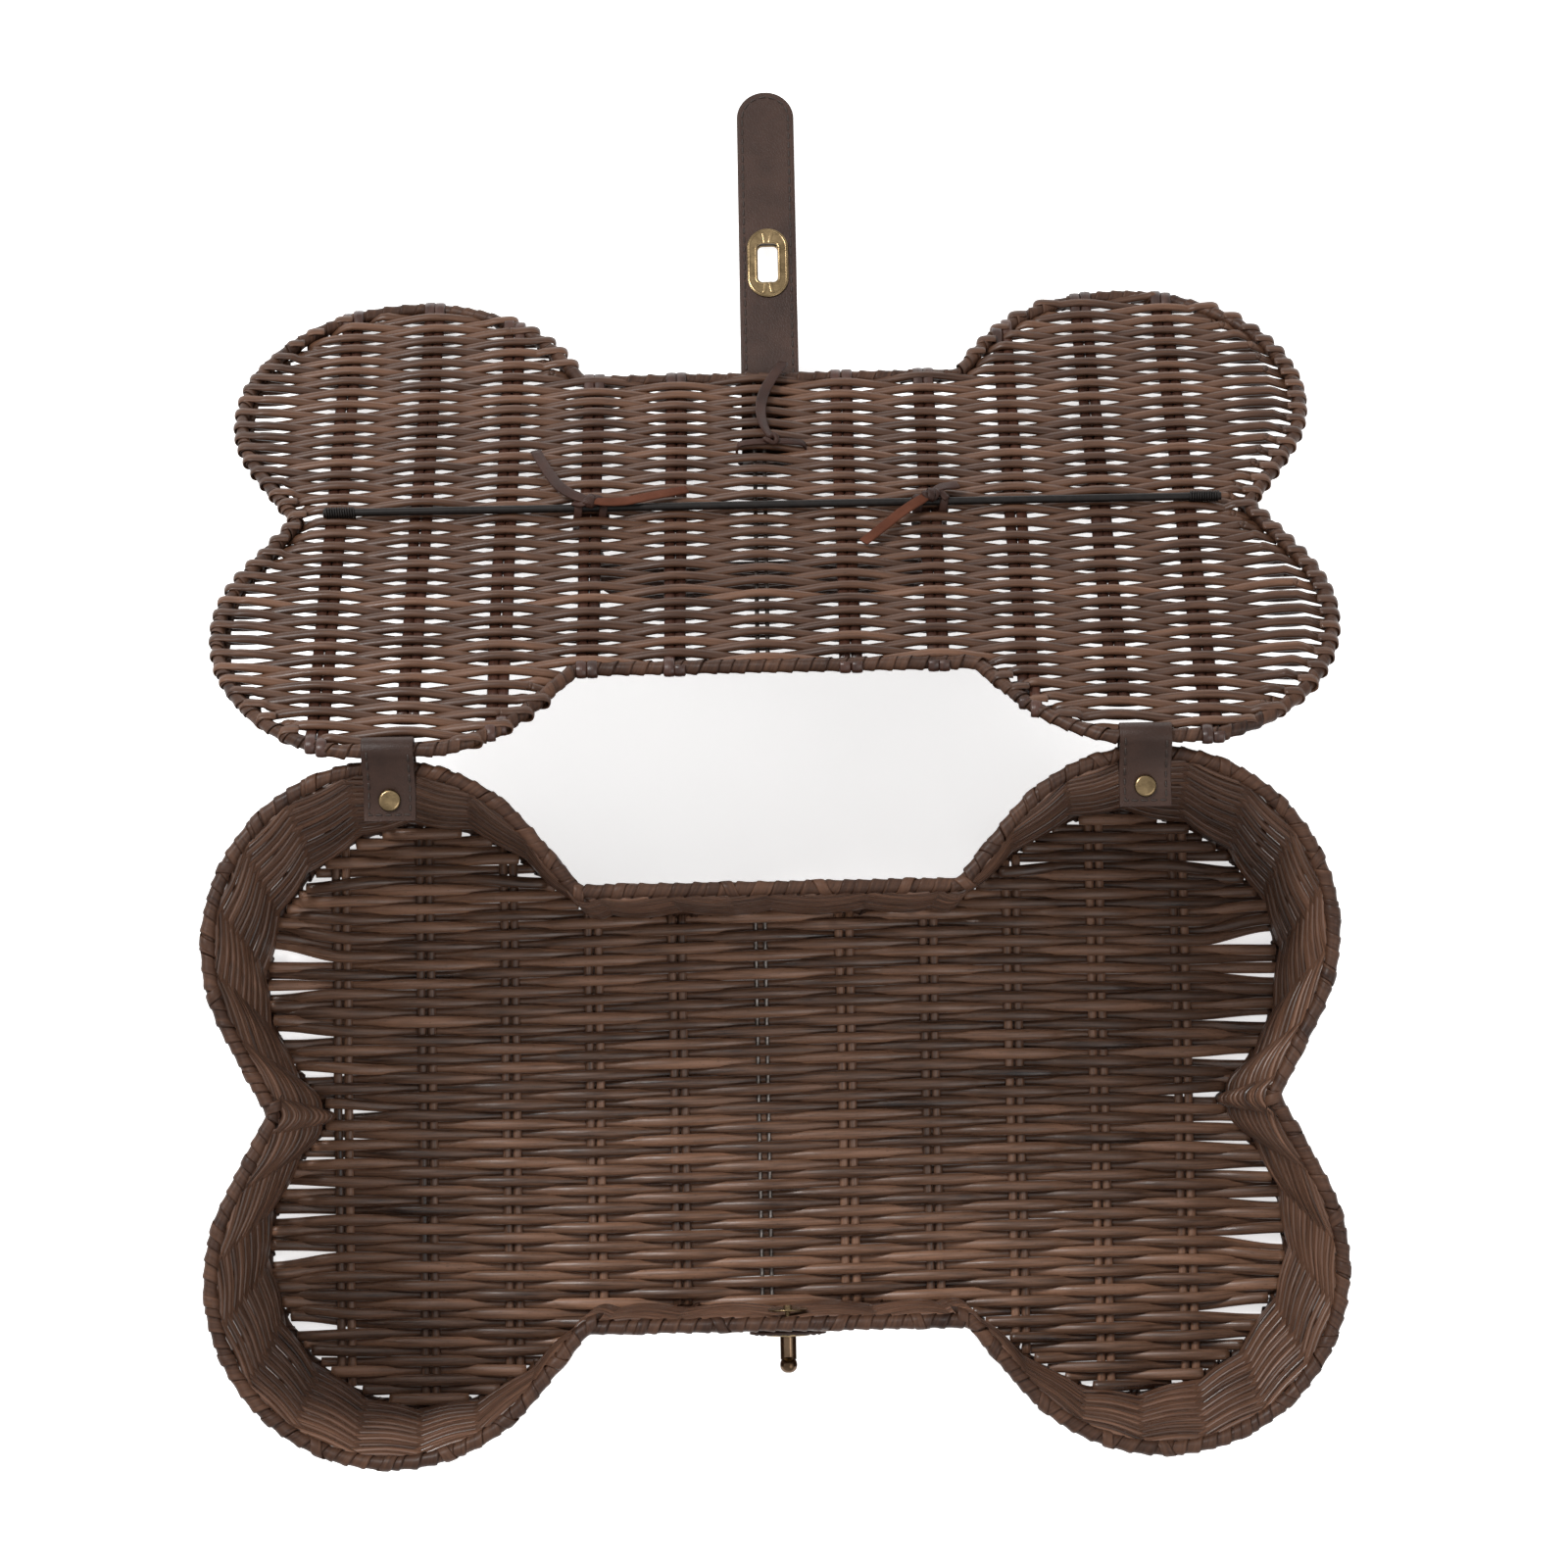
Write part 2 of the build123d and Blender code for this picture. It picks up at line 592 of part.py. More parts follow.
def make_handle():
    standing = Plane(origin=(STAKE_OFFSET, LID_HALF, -EYE_DROP), x_dir=(1, 0, 0), z_dir=(0, -1, 0))
    outline = handle_outline()
    eye_hole = LACE_R + 0.4
    eye_r = eye_hole + HANDLE_T
    eyes = []
    bores = []
    for side in (-1, 1):
        x = STAKE_OFFSET + side * HANDLE_HALF
        ends = ((x - 4.0, LID_HALF, -EYE_DROP), (x + 4.0, LID_HALF, -EYE_DROP))
        eyes.append(rod(*ends, eye_r))
        bores.append(rod(*ends, eye_hole))
    front = standing * extrude(outline, HANDLE_T)
    for eye, bore in zip(eyes, bores):
        front = front + eye - bore
    back = standing * extrude(outline, -HANDLE_T)
    for eye in eyes:
        back -= eye
    save("handle_leather", on_lid(front))
    save("handle_lining", on_lid(back))


make_base()
make_wall()
make_hinges()
make_lock()
make_lid()
make_strap()
make_handle()
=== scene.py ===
"""Looks for the wicker picnic basket: woven rods, bound rims, leather, stitching and brass on its frame."""

import math
from typing import NamedTuple

import bpy
import numpy as np
from mathutils import Matrix, Vector

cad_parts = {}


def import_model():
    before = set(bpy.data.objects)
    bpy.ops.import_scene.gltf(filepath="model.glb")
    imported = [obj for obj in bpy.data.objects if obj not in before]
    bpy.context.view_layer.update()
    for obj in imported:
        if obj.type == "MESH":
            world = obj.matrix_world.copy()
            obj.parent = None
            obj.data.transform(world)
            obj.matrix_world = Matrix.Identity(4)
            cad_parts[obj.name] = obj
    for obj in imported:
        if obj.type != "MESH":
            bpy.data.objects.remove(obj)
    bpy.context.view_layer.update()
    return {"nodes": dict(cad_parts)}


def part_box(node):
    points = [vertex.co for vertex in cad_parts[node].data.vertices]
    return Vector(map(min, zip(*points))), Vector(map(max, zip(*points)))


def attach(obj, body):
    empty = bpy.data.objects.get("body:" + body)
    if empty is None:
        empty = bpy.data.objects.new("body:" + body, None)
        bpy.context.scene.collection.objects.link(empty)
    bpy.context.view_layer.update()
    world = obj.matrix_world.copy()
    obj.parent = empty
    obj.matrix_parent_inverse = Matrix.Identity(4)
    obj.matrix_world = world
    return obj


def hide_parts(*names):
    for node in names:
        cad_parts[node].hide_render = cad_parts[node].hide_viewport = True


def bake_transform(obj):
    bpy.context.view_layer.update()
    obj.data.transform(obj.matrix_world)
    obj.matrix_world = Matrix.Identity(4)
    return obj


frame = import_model()
MM = 0.001
FLOOR_GAP = 0.05  # rods that rest on the floor are pressed flat this far over it

# Sizes in millimetres, the same as the frame's.
HEIGHT = 185.0
ROD_R = 2.6
RIM_Z = HEIGHT - ROD_R
HOOP_R = 2.5
WALL_LOW = 6.9
WALL_TOP = 175.6
STAKE_OFFSET = -5.0
BASE_PITCH = 37.0
LID_PITCH = 36.0
LID_T = 6.4
LID_SHIFT = 4.0
LID_FLAT = 3.0
AXIS_Y = 145.0
AXIS_Z = 188.6
LOCK_X = 4.0
STRAP_W = 25.4
STRAP_T = 2.6
STRAP_LENGTH = 138.0
STRAP_ROOT = 60.0
EYELET_AT = 55.0
CROSS_ROD_R = 1.7
CROSS_ROD_HALF = 190.0
HANDLE_HALF = 2 * LID_PITCH
HINGE_X = 152.0
HINGE_W = 21.0
LEATHER = 1.6
TAIL_Z = 181.6
GAP = 0.3  # between pieces that lie on each other
BEND_CLEAR = 2.6  # from the lid's border rod out to the strap's bend
FINE = 0.9  # between points along a bound rod
BINDING_R = 2.25
LACE_W = 4.8
LACE_T = 1.3
EYELET_SIZE = (18.2, 32.8)
SIDES = ((-1, "left"), (1, "right"))


# Outlines


class Bone(NamedTuple):
    """Four round lobes, a straight waist between them at the back and front, and a notch in each end."""

    lobe_x: float
    lobe_y: float
    lobe_r: float
    waist_x: float
    waist_plus: float
    waist_minus: float
    notch_x: float

    def touch_angle(self, x, y, turn):
        """Direction from the lobe's centre to the point where a line from (x, y) touches the lobe."""
        dx = x - self.lobe_x
        dy = y - self.lobe_y
        return math.atan2(dy, dx) + turn * math.acos(self.lobe_r / math.hypot(dx, dy))

    def waist(self, side_y):
        return self.waist_plus if side_y > 0 else self.waist_minus

    def arc(self, side_y):
        """First and last angle of a lobe's round part, from its waist to its notch."""
        first = self.touch_angle(self.waist_x, self.waist(side_y), -1)
        return first, self.touch_angle(self.notch_x, 0.0, 1)

    def corner(self, side_y, grow=0.0):
        near, _ = self.arc(side_y)
        y = self.waist(side_y) + grow
        x = self.lobe_x + (self.lobe_r + grow - math.sin(near) * (y - self.lobe_y)) / math.cos(near)
        return x, y

    def notch(self, grow=0.0):
        _, far = self.arc(1)
        return self.lobe_x + (self.lobe_r + grow + math.sin(far) * self.lobe_y) / math.cos(far)

    def on_lobe(self, angle, grow=0.0):
        reach = self.lobe_r + grow
        return self.lobe_x + reach * math.cos(angle), self.lobe_y + reach * math.sin(angle)

    def quarter(self, side_x, side_y, grow=0.0):
        """Points from the waist's corner round the lobe to the notch."""
        points = [self.corner(side_y, grow)]
        points += [self.on_lobe(angle, grow) for angle in np.linspace(*self.arc(side_y), 60)]
        points.append((self.notch(grow), 0.0))
        return [(side_x * x, side_y * y) for x, y in points]

    def outline(self, grow=0.0):
        """The closed outline, anticlockwise from the middle of its +Y waist."""
        points = [(0.0, self.waist_plus + grow)]
        points += self.quarter(-1, 1, grow)
        points += self.quarter(-1, -1, grow)[::-1][1:]
        points += self.quarter(1, -1, grow)
        points += self.quarter(1, 1, grow)[::-1][1:]
        return np.array(points)


def mixed(low, high, share):
    return Bone(*[a + (b - a) * share for a, b in zip(low, high)])


BASE_LINE = Bone(154.0, 59.0, 70.5, 77.0, 87.8, 87.8, 197.0)
RIM_LINE = Bone(154.0, 67.0, 72.0, 77.0, 87.0, 87.0, 200.0)
LID_LINE = Bone(156.0, 69.5, 73.5, 82.0, 90.0, 94.5, 201.0)

LID_HALF = LID_LINE.lobe_y + LID_LINE.lobe_r - LID_FLAT
LID_SLOPE = math.asin((AXIS_Z - ROD_R - GAP) / (2 * LID_HALF + LID_FLAT))
LID_OUT = Vector((0, math.cos(LID_SLOPE), -math.sin(LID_SLOPE)))
LID_UP = Vector((0, math.sin(LID_SLOPE), math.cos(LID_SLOPE)))
LID_AXES = np.array([(1, 0, 0), LID_OUT, LID_UP])
BEND_T = LID_HALF + LID_LINE.waist_plus + ROD_R + BEND_CLEAR
BEND_M = -(LID_T / 2 + GAP + STRAP_T / 2)


def wall_line(z):
    return mixed(BASE_LINE, RIM_LINE, (z - HOOP_R) / (RIM_Z - HOOP_R))


def on_lid(points):
    """Points across the lid, out from its hinge, and up on its inner side, to where they are in space."""
    return np.array([LID_SHIFT, AXIS_Y, AXIS_Z]) + on_lid_way(points)


def on_lid_way(ways):
    return np.asarray(ways, float) @ LID_AXES


def lengths(points):
    steps = np.linalg.norm(np.diff(points, axis=0), axis=1)
    return np.concatenate([[0.0], np.cumsum(steps)])


def unit(ways):
    return ways / np.linalg.norm(ways, axis=1)[:, None]


def closed_way(line, reach=1):
    """Which way a closed line runs at each of its points."""
    return unit(np.roll(line, -reach, axis=0) - np.roll(line, reach, axis=0))


def signed_power(values, power):
    return np.sign(values) * np.abs(values) ** power


def arc(centre, radius, angles):
    """Points round a centre, at angles in degrees."""
    return [(centre[0] + radius * math.cos(a), centre[1] + radius * math.sin(a)) for a in np.radians(angles)]


def even(points, step, closed=False):
    """The same line with points a step apart."""
    points = np.asarray(points, float)
    if closed:
        points = np.vstack([points, points[:1]])
    along = lengths(points)
    count = max(2, int(round(along[-1] / step)))
    at = np.linspace(0.0, along[-1], count + 1)
    if closed:
        at = at[:-1]
    return np.column_stack([np.interp(at, along, points[:, i]) for i in range(points.shape[1])])


def softened(points, reach):
    """A closed line with its sharp corners rounded over a number of points each way."""
    kernel = np.hanning(2 * reach + 3)[1:-1]
    kernel /= kernel.sum()
    padded = np.vstack([points[-reach:], points, points[:reach]])
    return np.column_stack([np.convolve(padded[:, i], kernel, "valid") for i in range(points.shape[1])])


def crossings(outline, y):
    """The stretches of a closed outline that a line at that y passes inside, as pairs of x."""
    ahead = np.roll(outline, -1, axis=0)
    hit = (outline[:, 1] > y) != (ahead[:, 1] > y)
    a = outline[hit]
    b = ahead[hit]
    xs = np.sort(a[:, 0] + (y - a[:, 1]) / (b[:, 1] - a[:, 1]) * (b[:, 0] - a[:, 0]))
    return [(xs[i], xs[i + 1]) for i in range(0, len(xs) - 1, 2)]


def through(points, per_span, closed=False):
    """A smooth line through points, each span in that many steps."""
    points = np.asarray(points, float)
    if closed:
        padded = np.vstack([points[-1:], points, points[:2]])
    else:
        padded = np.vstack([2 * points[0] - points[1], points, 2 * points[-1] - points[-2]])
    share = np.linspace(0.0, 1.0, per_span, endpoint=False)[None, :, None]
    p0, p1, p2, p3 = (padded[i : len(padded) - 3 + i, None, :] for i in range(4))
    line = 0.5 * (
        2 * p1
        + (p2 - p0) * share
        + (2 * p0 - 5 * p1 + 4 * p2 - p3) * share**2
        + (3 * p1 - p0 - 3 * p2 + p3) * share**3
    )
    line = line.reshape(-1, points.shape[1])
    return line if closed else np.vstack([line, points[-1:]])


def wobble(rng, at, amount, wavelength):
    """A slow random drift along a line."""
    total = np.zeros(len(at))
    for share in (1.0, 0.53, 0.31):
        phase = rng.uniform(0, 2 * math.pi)
        total += share * np.sin(2 * math.pi * at / (wavelength * share) + phase)
    return amount * total / 1.84


def ease(share):
    share = np.clip(share, 0.0, 1.0)
    return share * share * (3 - 2 * share)


# Meshes


class Strands:
    """Rods, strips and cords gathered into one mesh, with the coordinates that the materials follow."""

    def __init__(self, seed):
        self.rng = np.random.default_rng(seed)
        self.points = []
        self.grain = []
        self.tone = []
        self.quads = []
        self.fans = []
        self.count = 0

    def add(self, path, width, thick=None, face=(0, 0, 1), sides=8, closed=False, square=1.0, tone=None):
        """One strand along a path, its thickness measured along face. A square below 1 flattens its sides."""
        path = np.asarray(path, float)
        count = len(path)
        thick = width if thick is None else thick
        tangent = closed_way(path) if closed else unit(np.gradient(path, axis=0))
        face = np.broadcast_to(np.asarray(face, float), path.shape)
        up = unit(face - (face * tangent).sum(1)[:, None] * tangent)
        side = np.cross(tangent, up)
        angle = np.arange(sides) * 2 * math.pi / sides
        half_w = np.broadcast_to(np.asarray(width, float) / 2, (count,))
        half_t = np.broadcast_to(np.asarray(thick, float) / 2, (count,))
        u = half_w[:, None] * signed_power(np.cos(angle), square)
        v = half_t[:, None] * signed_power(np.sin(angle), square)
        rings = path[:, None, :] + side[:, None, :] * u[..., None] + up[:, None, :] * v[..., None]
        along = lengths(path) + self.rng.uniform(0, 900)
        grain = np.stack([np.broadcast_to(along[:, None], u.shape), u, v], axis=-1)
        tone = self.rng.uniform() if tone is None else tone
        first = self.count
        ring = np.arange(sides)
        beyond = np.roll(ring, -1)
        rows = count if closed else count - 1
        start = first + np.arange(rows)[:, None] * sides
        after = first + ((np.arange(rows)[:, None] + 1) % count) * sides
        quads = np.stack([start + ring, start + beyond, after + beyond, after + ring], axis=-1)
        self.quads.append(quads.reshape(-1, 4))
        self.points.append(rings.reshape(-1, 3))
        self.grain.append(grain.reshape(-1, 3))
        self.tone.append(np.broadcast_to(np.asarray(tone, float).reshape(-1, 1), (count, sides)).ravel())
        self.count += count * sides
        if not closed:
            self.cap(path[0] - tangent[0] * half_t[0] * 0.3, first, ring, beyond, grain[0].mean(0), tone)
            last = first + (count - 1) * sides
            self.cap(path[-1] + tangent[-1] * half_t[-1] * 0.3, last, beyond, ring, grain[-1].mean(0), tone)

    def add_on_lid(self, path, width, thick, face=(0, 0, 1), **how):
        """One strand along a path that is measured on the lid."""
        self.add(on_lid(path), width, thick, on_lid_way(face), **how)

    def cap(self, tip, base, ring, beyond, grain, tone):
        self.points.append(np.asarray(tip)[None, :])
        self.grain.append(grain[None, :])
        self.tone.append(np.array([float(np.asarray(tone).ravel()[0])]))
        tips = np.full(len(ring), self.count)
        self.fans.append(np.stack([tips, base + beyond, base + ring], axis=-1))
        self.count += 1

    def made(self, name, material, body=None, slot=None, replaces=()):
        points = np.vstack(self.points) * MM
        points[:, 2] = np.maximum(points[:, 2], FLOOR_GAP * MM)
        quads = np.vstack(self.quads)
        fans = np.vstack(self.fans) if self.fans else np.zeros((0, 3), int)
        mesh = bpy.data.meshes.new(name)
        mesh.vertices.add(len(points))
        mesh.vertices.foreach_set("co", points.ravel())
        mesh.loops.add(quads.size + fans.size)
        mesh.loops.foreach_set("vertex_index", np.concatenate([quads.ravel(), fans.ravel()]))
        mesh.polygons.add(len(quads) + len(fans))
        starts = np.concatenate([np.arange(len(quads)) * 4, quads.size + np.arange(len(fans)) * 3])
        mesh.polygons.foreach_set("loop_start", starts)
        mesh.polygons.foreach_set("use_smooth", np.ones(len(starts), bool))
        mesh.update(calc_edges=True)
        grain = mesh.attributes.new("grain", "FLOAT_VECTOR", "POINT")
        grain.data.foreach_set("vector", np.vstack(self.grain).ravel())
        tone = mesh.attributes.new("tone", "FLOAT", "POINT")
        tone.data.foreach_set("value", np.concatenate(self.tone))
        return placed(bpy.data.objects.new(name, mesh), material, body, replaces)


def shown(thing):
    bpy.context.scene.collection.objects.link(thing)
    return thing


def painted(thing, *materials):
    thing.data.materials.clear()
    for material in materials:
        thing.data.materials.append(material)
    return thing


def smooth(mesh, sharp_degrees):
    for face in mesh.polygons:
        face.use_smooth = True
    mesh.set_sharp_from_angle(angle=math.radians(sharp_degrees))


def placed(thing, material, body=None, replaces=()):
    if thing.name not in bpy.context.scene.collection.objects:
        shown(thing)
    painted(thing, material)
    if body:
        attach(thing, body)
    if replaces:
        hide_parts(*replaces)
    return thing


def matrix_of(axes, origin):
    """A placing with its three axes and an origin in millimetres."""
    matrix = Matrix.Identity(4)
    for column, way in enumerate(axes):
        matrix.col[column] = (*way, 0.0)
    matrix.translation = Vector(origin) * MM
    return matrix



# Materials


class Finish:
    """A material and the few kinds of node that it is made from."""

    def __init__(self, name, **shader):
        self.material = bpy.data.materials.new(name)
        self.material.use_nodes = True
        self.tree = self.material.node_tree
        self.shader = self.tree.nodes["Principled BSDF"]
        for socket, value in shader.items():
            self.shader.inputs[socket.replace("_", " ")].default_value = value

    def node(self, kind, **settings):
        made = self.tree.nodes.new(kind)
        for key, value in settings.items():
            setattr(made, key, value)
        return made

    def join(self, source, target):
        self.tree.links.new(source, target)

    def attribute(self, name, output):
        return self.node("ShaderNodeAttribute", attribute_name=name).outputs[output]

    def place(self):
        """Object coordinates in millimetres."""
        coordinates = self.node("ShaderNodeTexCoord").outputs["Object"]
        return self.scaled(coordinates, (1000.0, 1000.0, 1000.0))

    def scaled(self, vector, factors):
        scale = self.node("ShaderNodeVectorMath", operation="MULTIPLY")
        self.join(vector, scale.inputs[0])
        scale.inputs[1].default_value = factors
        return scale.outputs[0]

    def noise(self, vector, scale=1.0, detail=3.0, roughness=0.55):
        made = self.node("ShaderNodeTexNoise")
        made.inputs["Scale"].default_value = scale
        made.inputs["Detail"].default_value = detail
        made.inputs["Roughness"].default_value = roughness
        self.join(vector, made.inputs["Vector"])
        return made.outputs["Fac"]

    def ramp(self, value, *stops):
        made = self.node("ShaderNodeValToRGB")
        elements = made.color_ramp.elements
        while len(elements) < len(stops):
            elements.new(0.5)
        for element, (at, colour) in zip(elements, stops):
            element.position = at
            element.color = (*colour, 1.0) if hasattr(colour, "__len__") else (colour, colour, colour, 1.0)
        self.join(value, made.inputs[0])
        return made.outputs[0]

    def total(self, *parts):
        """The sum of values, each times its share."""
        result = None
        for value, share in parts:
            made = self.node("ShaderNodeMath", operation="MULTIPLY_ADD")
            self.join(value, made.inputs[0])
            made.inputs[1].default_value = share
            made.inputs[2].default_value = 0.0
            if result is not None:
                self.join(result, made.inputs[2])
            result = made.outputs[0]
        return result

    def tinted(self, share, colour, tint):
        """The colour, going over to a plain tint by share."""
        made = self.node("ShaderNodeMix", data_type="RGBA")
        self.join(share, made.inputs[0])
        self.join(colour, made.inputs[6])
        made.inputs[7].default_value = (*tint, 1.0)
        return made.outputs[2]

    def bump(self, height, strength, depth_mm, under=None):
        made = self.node("ShaderNodeBump")
        made.inputs["Strength"].default_value = strength
        made.inputs["Distance"].default_value = depth_mm * MM
        self.join(height, made.inputs["Height"])
        if under is not None:
            self.join(under, made.inputs["Normal"])
        return made.outputs[0]

    def paint(self, **links):
        for socket, source in links.items():
            self.join(source, self.shader.inputs[socket.replace("_", " ")])
        return self.material


def willow(name, dark, light, streak=(0.06, 1.3, 1.3), rough=(0.24, 0.5), gloss=0.42):
    """Stained willow: streaks along the rod, blotches of stain, and each rod its own shade."""
    finish = Finish(name, Specular_IOR_Level=gloss)
    grain = finish.attribute("grain", "Vector")
    tone = finish.attribute("tone", "Fac")
    streaks = finish.noise(finish.scaled(grain, streak), 1.0, 4.0, 0.6)
    blotches = finish.noise(finish.scaled(grain, (0.022, 0.12, 0.12)), 1.0, 2.0, 0.5)
    shade = finish.total((streaks, 0.55), (blotches, 0.45), (tone, 0.22))
    colour = finish.ramp(shade, (0.36, dark), (0.58, mid_colour(dark, light)), (0.8, light))
    specks = finish.noise(finish.scaled(grain, (0.5, 2.4, 2.4)), 1.0, 2.0, 0.5)
    colour = finish.tinted(finish.ramp(specks, (0.62, 0.0), (0.74, 0.5)), colour, dimmed(dark, 0.45))
    roughness = finish.ramp(blotches, (0.3, rough[0]), (0.7, rough[1]))
    fine = finish.bump(streaks, 0.5, 0.25)
    normal = finish.bump(blotches, 0.35, 0.8, fine)
    return finish.paint(Base_Color=colour, Roughness=roughness, Normal=normal)


def dimmed(colour, share):
    return tuple(share * x for x in colour)


def mid_colour(a, b):
    return tuple(0.55 * x + 0.45 * y for x, y in zip(a, b))


def leather(name, dark, light, rough=(0.36, 0.52), cell=0.85, depth=0.12, sheen=0.38):
    """Finished leather: fine grain cells, cloudy shade and a soft sheen."""
    finish = Finish(name, Specular_IOR_Level=sheen)
    place = finish.place()
    cells = finish.node("ShaderNodeTexVoronoi", feature="DISTANCE_TO_EDGE")
    cells.inputs["Scale"].default_value = cell
    finish.join(place, cells.inputs["Vector"])
    clouds = finish.noise(place, 0.05, 4.0, 0.6)
    pores = finish.noise(place, 2.2, 3.0, 0.6)
    shade = finish.total((clouds, 0.7), (pores, 0.3))
    colour = finish.ramp(shade, (0.35, dark), (0.7, light))
    roughness = finish.ramp(pores, (0.3, rough[0]), (0.7, rough[1]))
    creases = finish.ramp(cells.outputs["Distance"], (0.0, 0.0), (0.18, 1.0))
    fine = finish.bump(creases, 0.35, depth)
    normal = finish.bump(pores, 0.25, depth, fine)
    return finish.paint(Base_Color=colour, Roughness=roughness, Normal=normal)


def metal(name, dark, light, rough=(0.22, 0.42), metallic=1.0, scale=0.35):
    """Metal with worn tone: lighter where it is rubbed, duller in patches."""
    finish = Finish(name, Metallic=metallic, Specular_IOR_Level=0.2)
    place = finish.place()
    patches = finish.noise(place, scale, 4.0, 0.6)
    scratches = finish.noise(finish.scaled(place, (0.6, 4.0, 2.5)), 1.0, 3.0, 0.5)
    colour = finish.ramp(patches, (0.36, dark), (0.64, light))
    roughness = finish.ramp(scratches, (0.3, rough[0]), (0.75, rough[1]))
    normal = finish.bump(scratches, 0.2, 0.03)
    return finish.paint(Base_Color=colour, Roughness=roughness, Normal=normal)


def thread(name, colour):
    """Waxed thread: two plies twisted together, with painted shade in the grooves between them."""
    finish = Finish(name, Specular_IOR_Level=0.4)
    grain = finish.attribute("grain", "Vector")
    twist = finish.node("ShaderNodeTexWave", wave_type="BANDS", bands_direction="DIAGONAL")
    twist.inputs["Scale"].default_value = 0.8
    twist.inputs["Distortion"].default_value = 0.6
    finish.join(grain, twist.inputs["Vector"])
    plies = twist.outputs["Fac"]
    # Painted shade: the low part of each twist band, the groove between the plies, is coloured darker.
    tint = finish.ramp(plies, (0.0, dimmed(colour, 0.55)), (1.0, colour))
    roughness = finish.ramp(plies, (0.0, 0.7), (1.0, 0.45))
    return finish.paint(Base_Color=tint, Roughness=roughness, Normal=finish.bump(plies, 0.5, 0.12))


WILLOW = willow("basket_willow", (0.016, 0.006, 0.003), (0.26, 0.134, 0.08))
WALL_WILLOW = willow("wall_willow", (0.012, 0.0045, 0.0025), (0.18, 0.088, 0.052))
LID_WILLOW = willow("lid_willow", (0.016, 0.006, 0.003), (0.115, 0.055, 0.031), gloss=0.24)
DARK_STAKE = willow("dark_stake", (0.014, 0.005, 0.003), (0.06, 0.022, 0.013))
STRIP = willow(
    "split_strip", (0.013, 0.0046, 0.0024), (0.076, 0.035, 0.0195), (0.09, 0.9, 0.9), (0.36, 0.56), gloss=0.2
)
LEATHER_DARK = leather("strap_leather_dark", (0.02, 0.0088, 0.0055), (0.044, 0.021, 0.014), sheen=0.22)
LEATHER_EDGE = leather(
    "strap_leather_edge", (0.012, 0.007, 0.005), (0.03, 0.018, 0.014), (0.5, 0.7), cell=1.6, depth=0.05
)
LACE = leather("lace_leather", (0.014, 0.005, 0.003), (0.042, 0.016, 0.01), (0.42, 0.62), 1.4, 0.08, 0.18)
SUEDE = leather("lace_suede", (0.055, 0.018, 0.0095), (0.105, 0.038, 0.022), (0.75, 0.95), 2.2, 0.15, 0.08)
BRASS = metal("antique_brass_metal", (0.15, 0.105, 0.055), (0.3, 0.215, 0.115), (0.16, 0.34), scale=0.14)
KNOB_BRASS = metal("dark_knob_brass", (0.07, 0.044, 0.026), (0.16, 0.105, 0.066), (0.1, 0.24), scale=0.14)
STEEL = metal("bare_wire", (0.1, 0.085, 0.075), (0.3, 0.27, 0.25), (0.3, 0.5))
BLACK = metal("black_coated_steel", (0.0035, 0.0024, 0.002), (0.008, 0.0055, 0.0045), (0.38, 0.55), 0.0)
THREAD = thread("dark_thread", (0.03, 0.017, 0.012))


# Base


# Base


def stake_pairs(pitch, half):
    """Places along X of the paired stakes, none in the middle."""
    for k in (-5, -4, -3, -2, -1, 1, 2, 3, 4, 5):
        for side in (-1, 1):
            yield STAKE_OFFSET + k * pitch + side * half


def base_rows():
    """Woven rods across the base, over and under the pairs of stakes, fanning out a little at their ends."""
    pitch, middle, lift = 4.17, 4.3, 2.55
    step, shortest, fan_reach, lobe_from, notch_to = 2.3, 12.0, 34.0, 100.0, 105.0
    edge = BASE_LINE.outline(-2.2)
    halves = (Strands(11), Strands(12))
    rng = np.random.default_rng(5)
    rows = np.arange(-33, 34)
    group = np.cumsum(rng.random(len(rows)) < 0.24)
    group_y = {g: rows[group == g].mean() * pitch for g in set(group)}
    for row, member in zip(rows, group):
        y0 = row * pitch
        for x0, x1 in crossings(edge, y0):
            if x1 - x0 < shortest:
                continue
            x = np.arange(x0, x1 + step, step)
            wave = signed_power(np.cos(math.pi * ((x - STAKE_OFFSET) / BASE_PITCH + row)), 0.8)
            y = y0 + wobble(rng, x, 0.2, 150.0) + 1.1 * np.sin(x / 61.0 + y0 / 95.0)
            for end in (x0, x1):
                if abs(end) > lobe_from and abs(y0) < notch_to:
                    pull = 1 - ease(np.abs(x - end) / fan_reach)
                    y += pull * (group_y[member] - y0) * 0.26
            z = middle + lift * wave + wobble(rng, x, 0.15, 60.0)
            width = (4.7 + 0.45 * wave) * (1 + wobble(rng, x, 0.04, 110.0)) * rng.uniform(0.95, 1.04)
            tone = rng.random() ** 1.5
            halves[int(row >= 0)].add(np.column_stack([x, y, z]), width, 3.0, sides=10, tone=tone)
    for strands, half in zip(halves, ("front", "back")):
        strands.made(f"base_weave_{half}", WILLOW, "basket", "willow", ["base_weave"])


def base_sticks():
    """The pairs of stakes under the base's rods."""
    width, thick, middle, step = 3.9, 2.5, 4.2, 3.0
    strands = Strands(21)
    edge = BASE_LINE.outline(-2.5)[:, ::-1]
    for x0 in stake_pairs(BASE_PITCH, 2.25):
        for low, high in crossings(edge, x0):
            y = np.arange(low, high + step, step)
            x = x0 + wobble(strands.rng, y, 0.25, 160.0)
            z = middle + wobble(strands.rng, y, 0.15, 90.0)
            strands.add(np.column_stack([x, y, z]), width, thick, sides=10)
    strands.made("base_stake_pairs", WILLOW, "basket", "willow_dark", ["base_stakes"])


# Wall


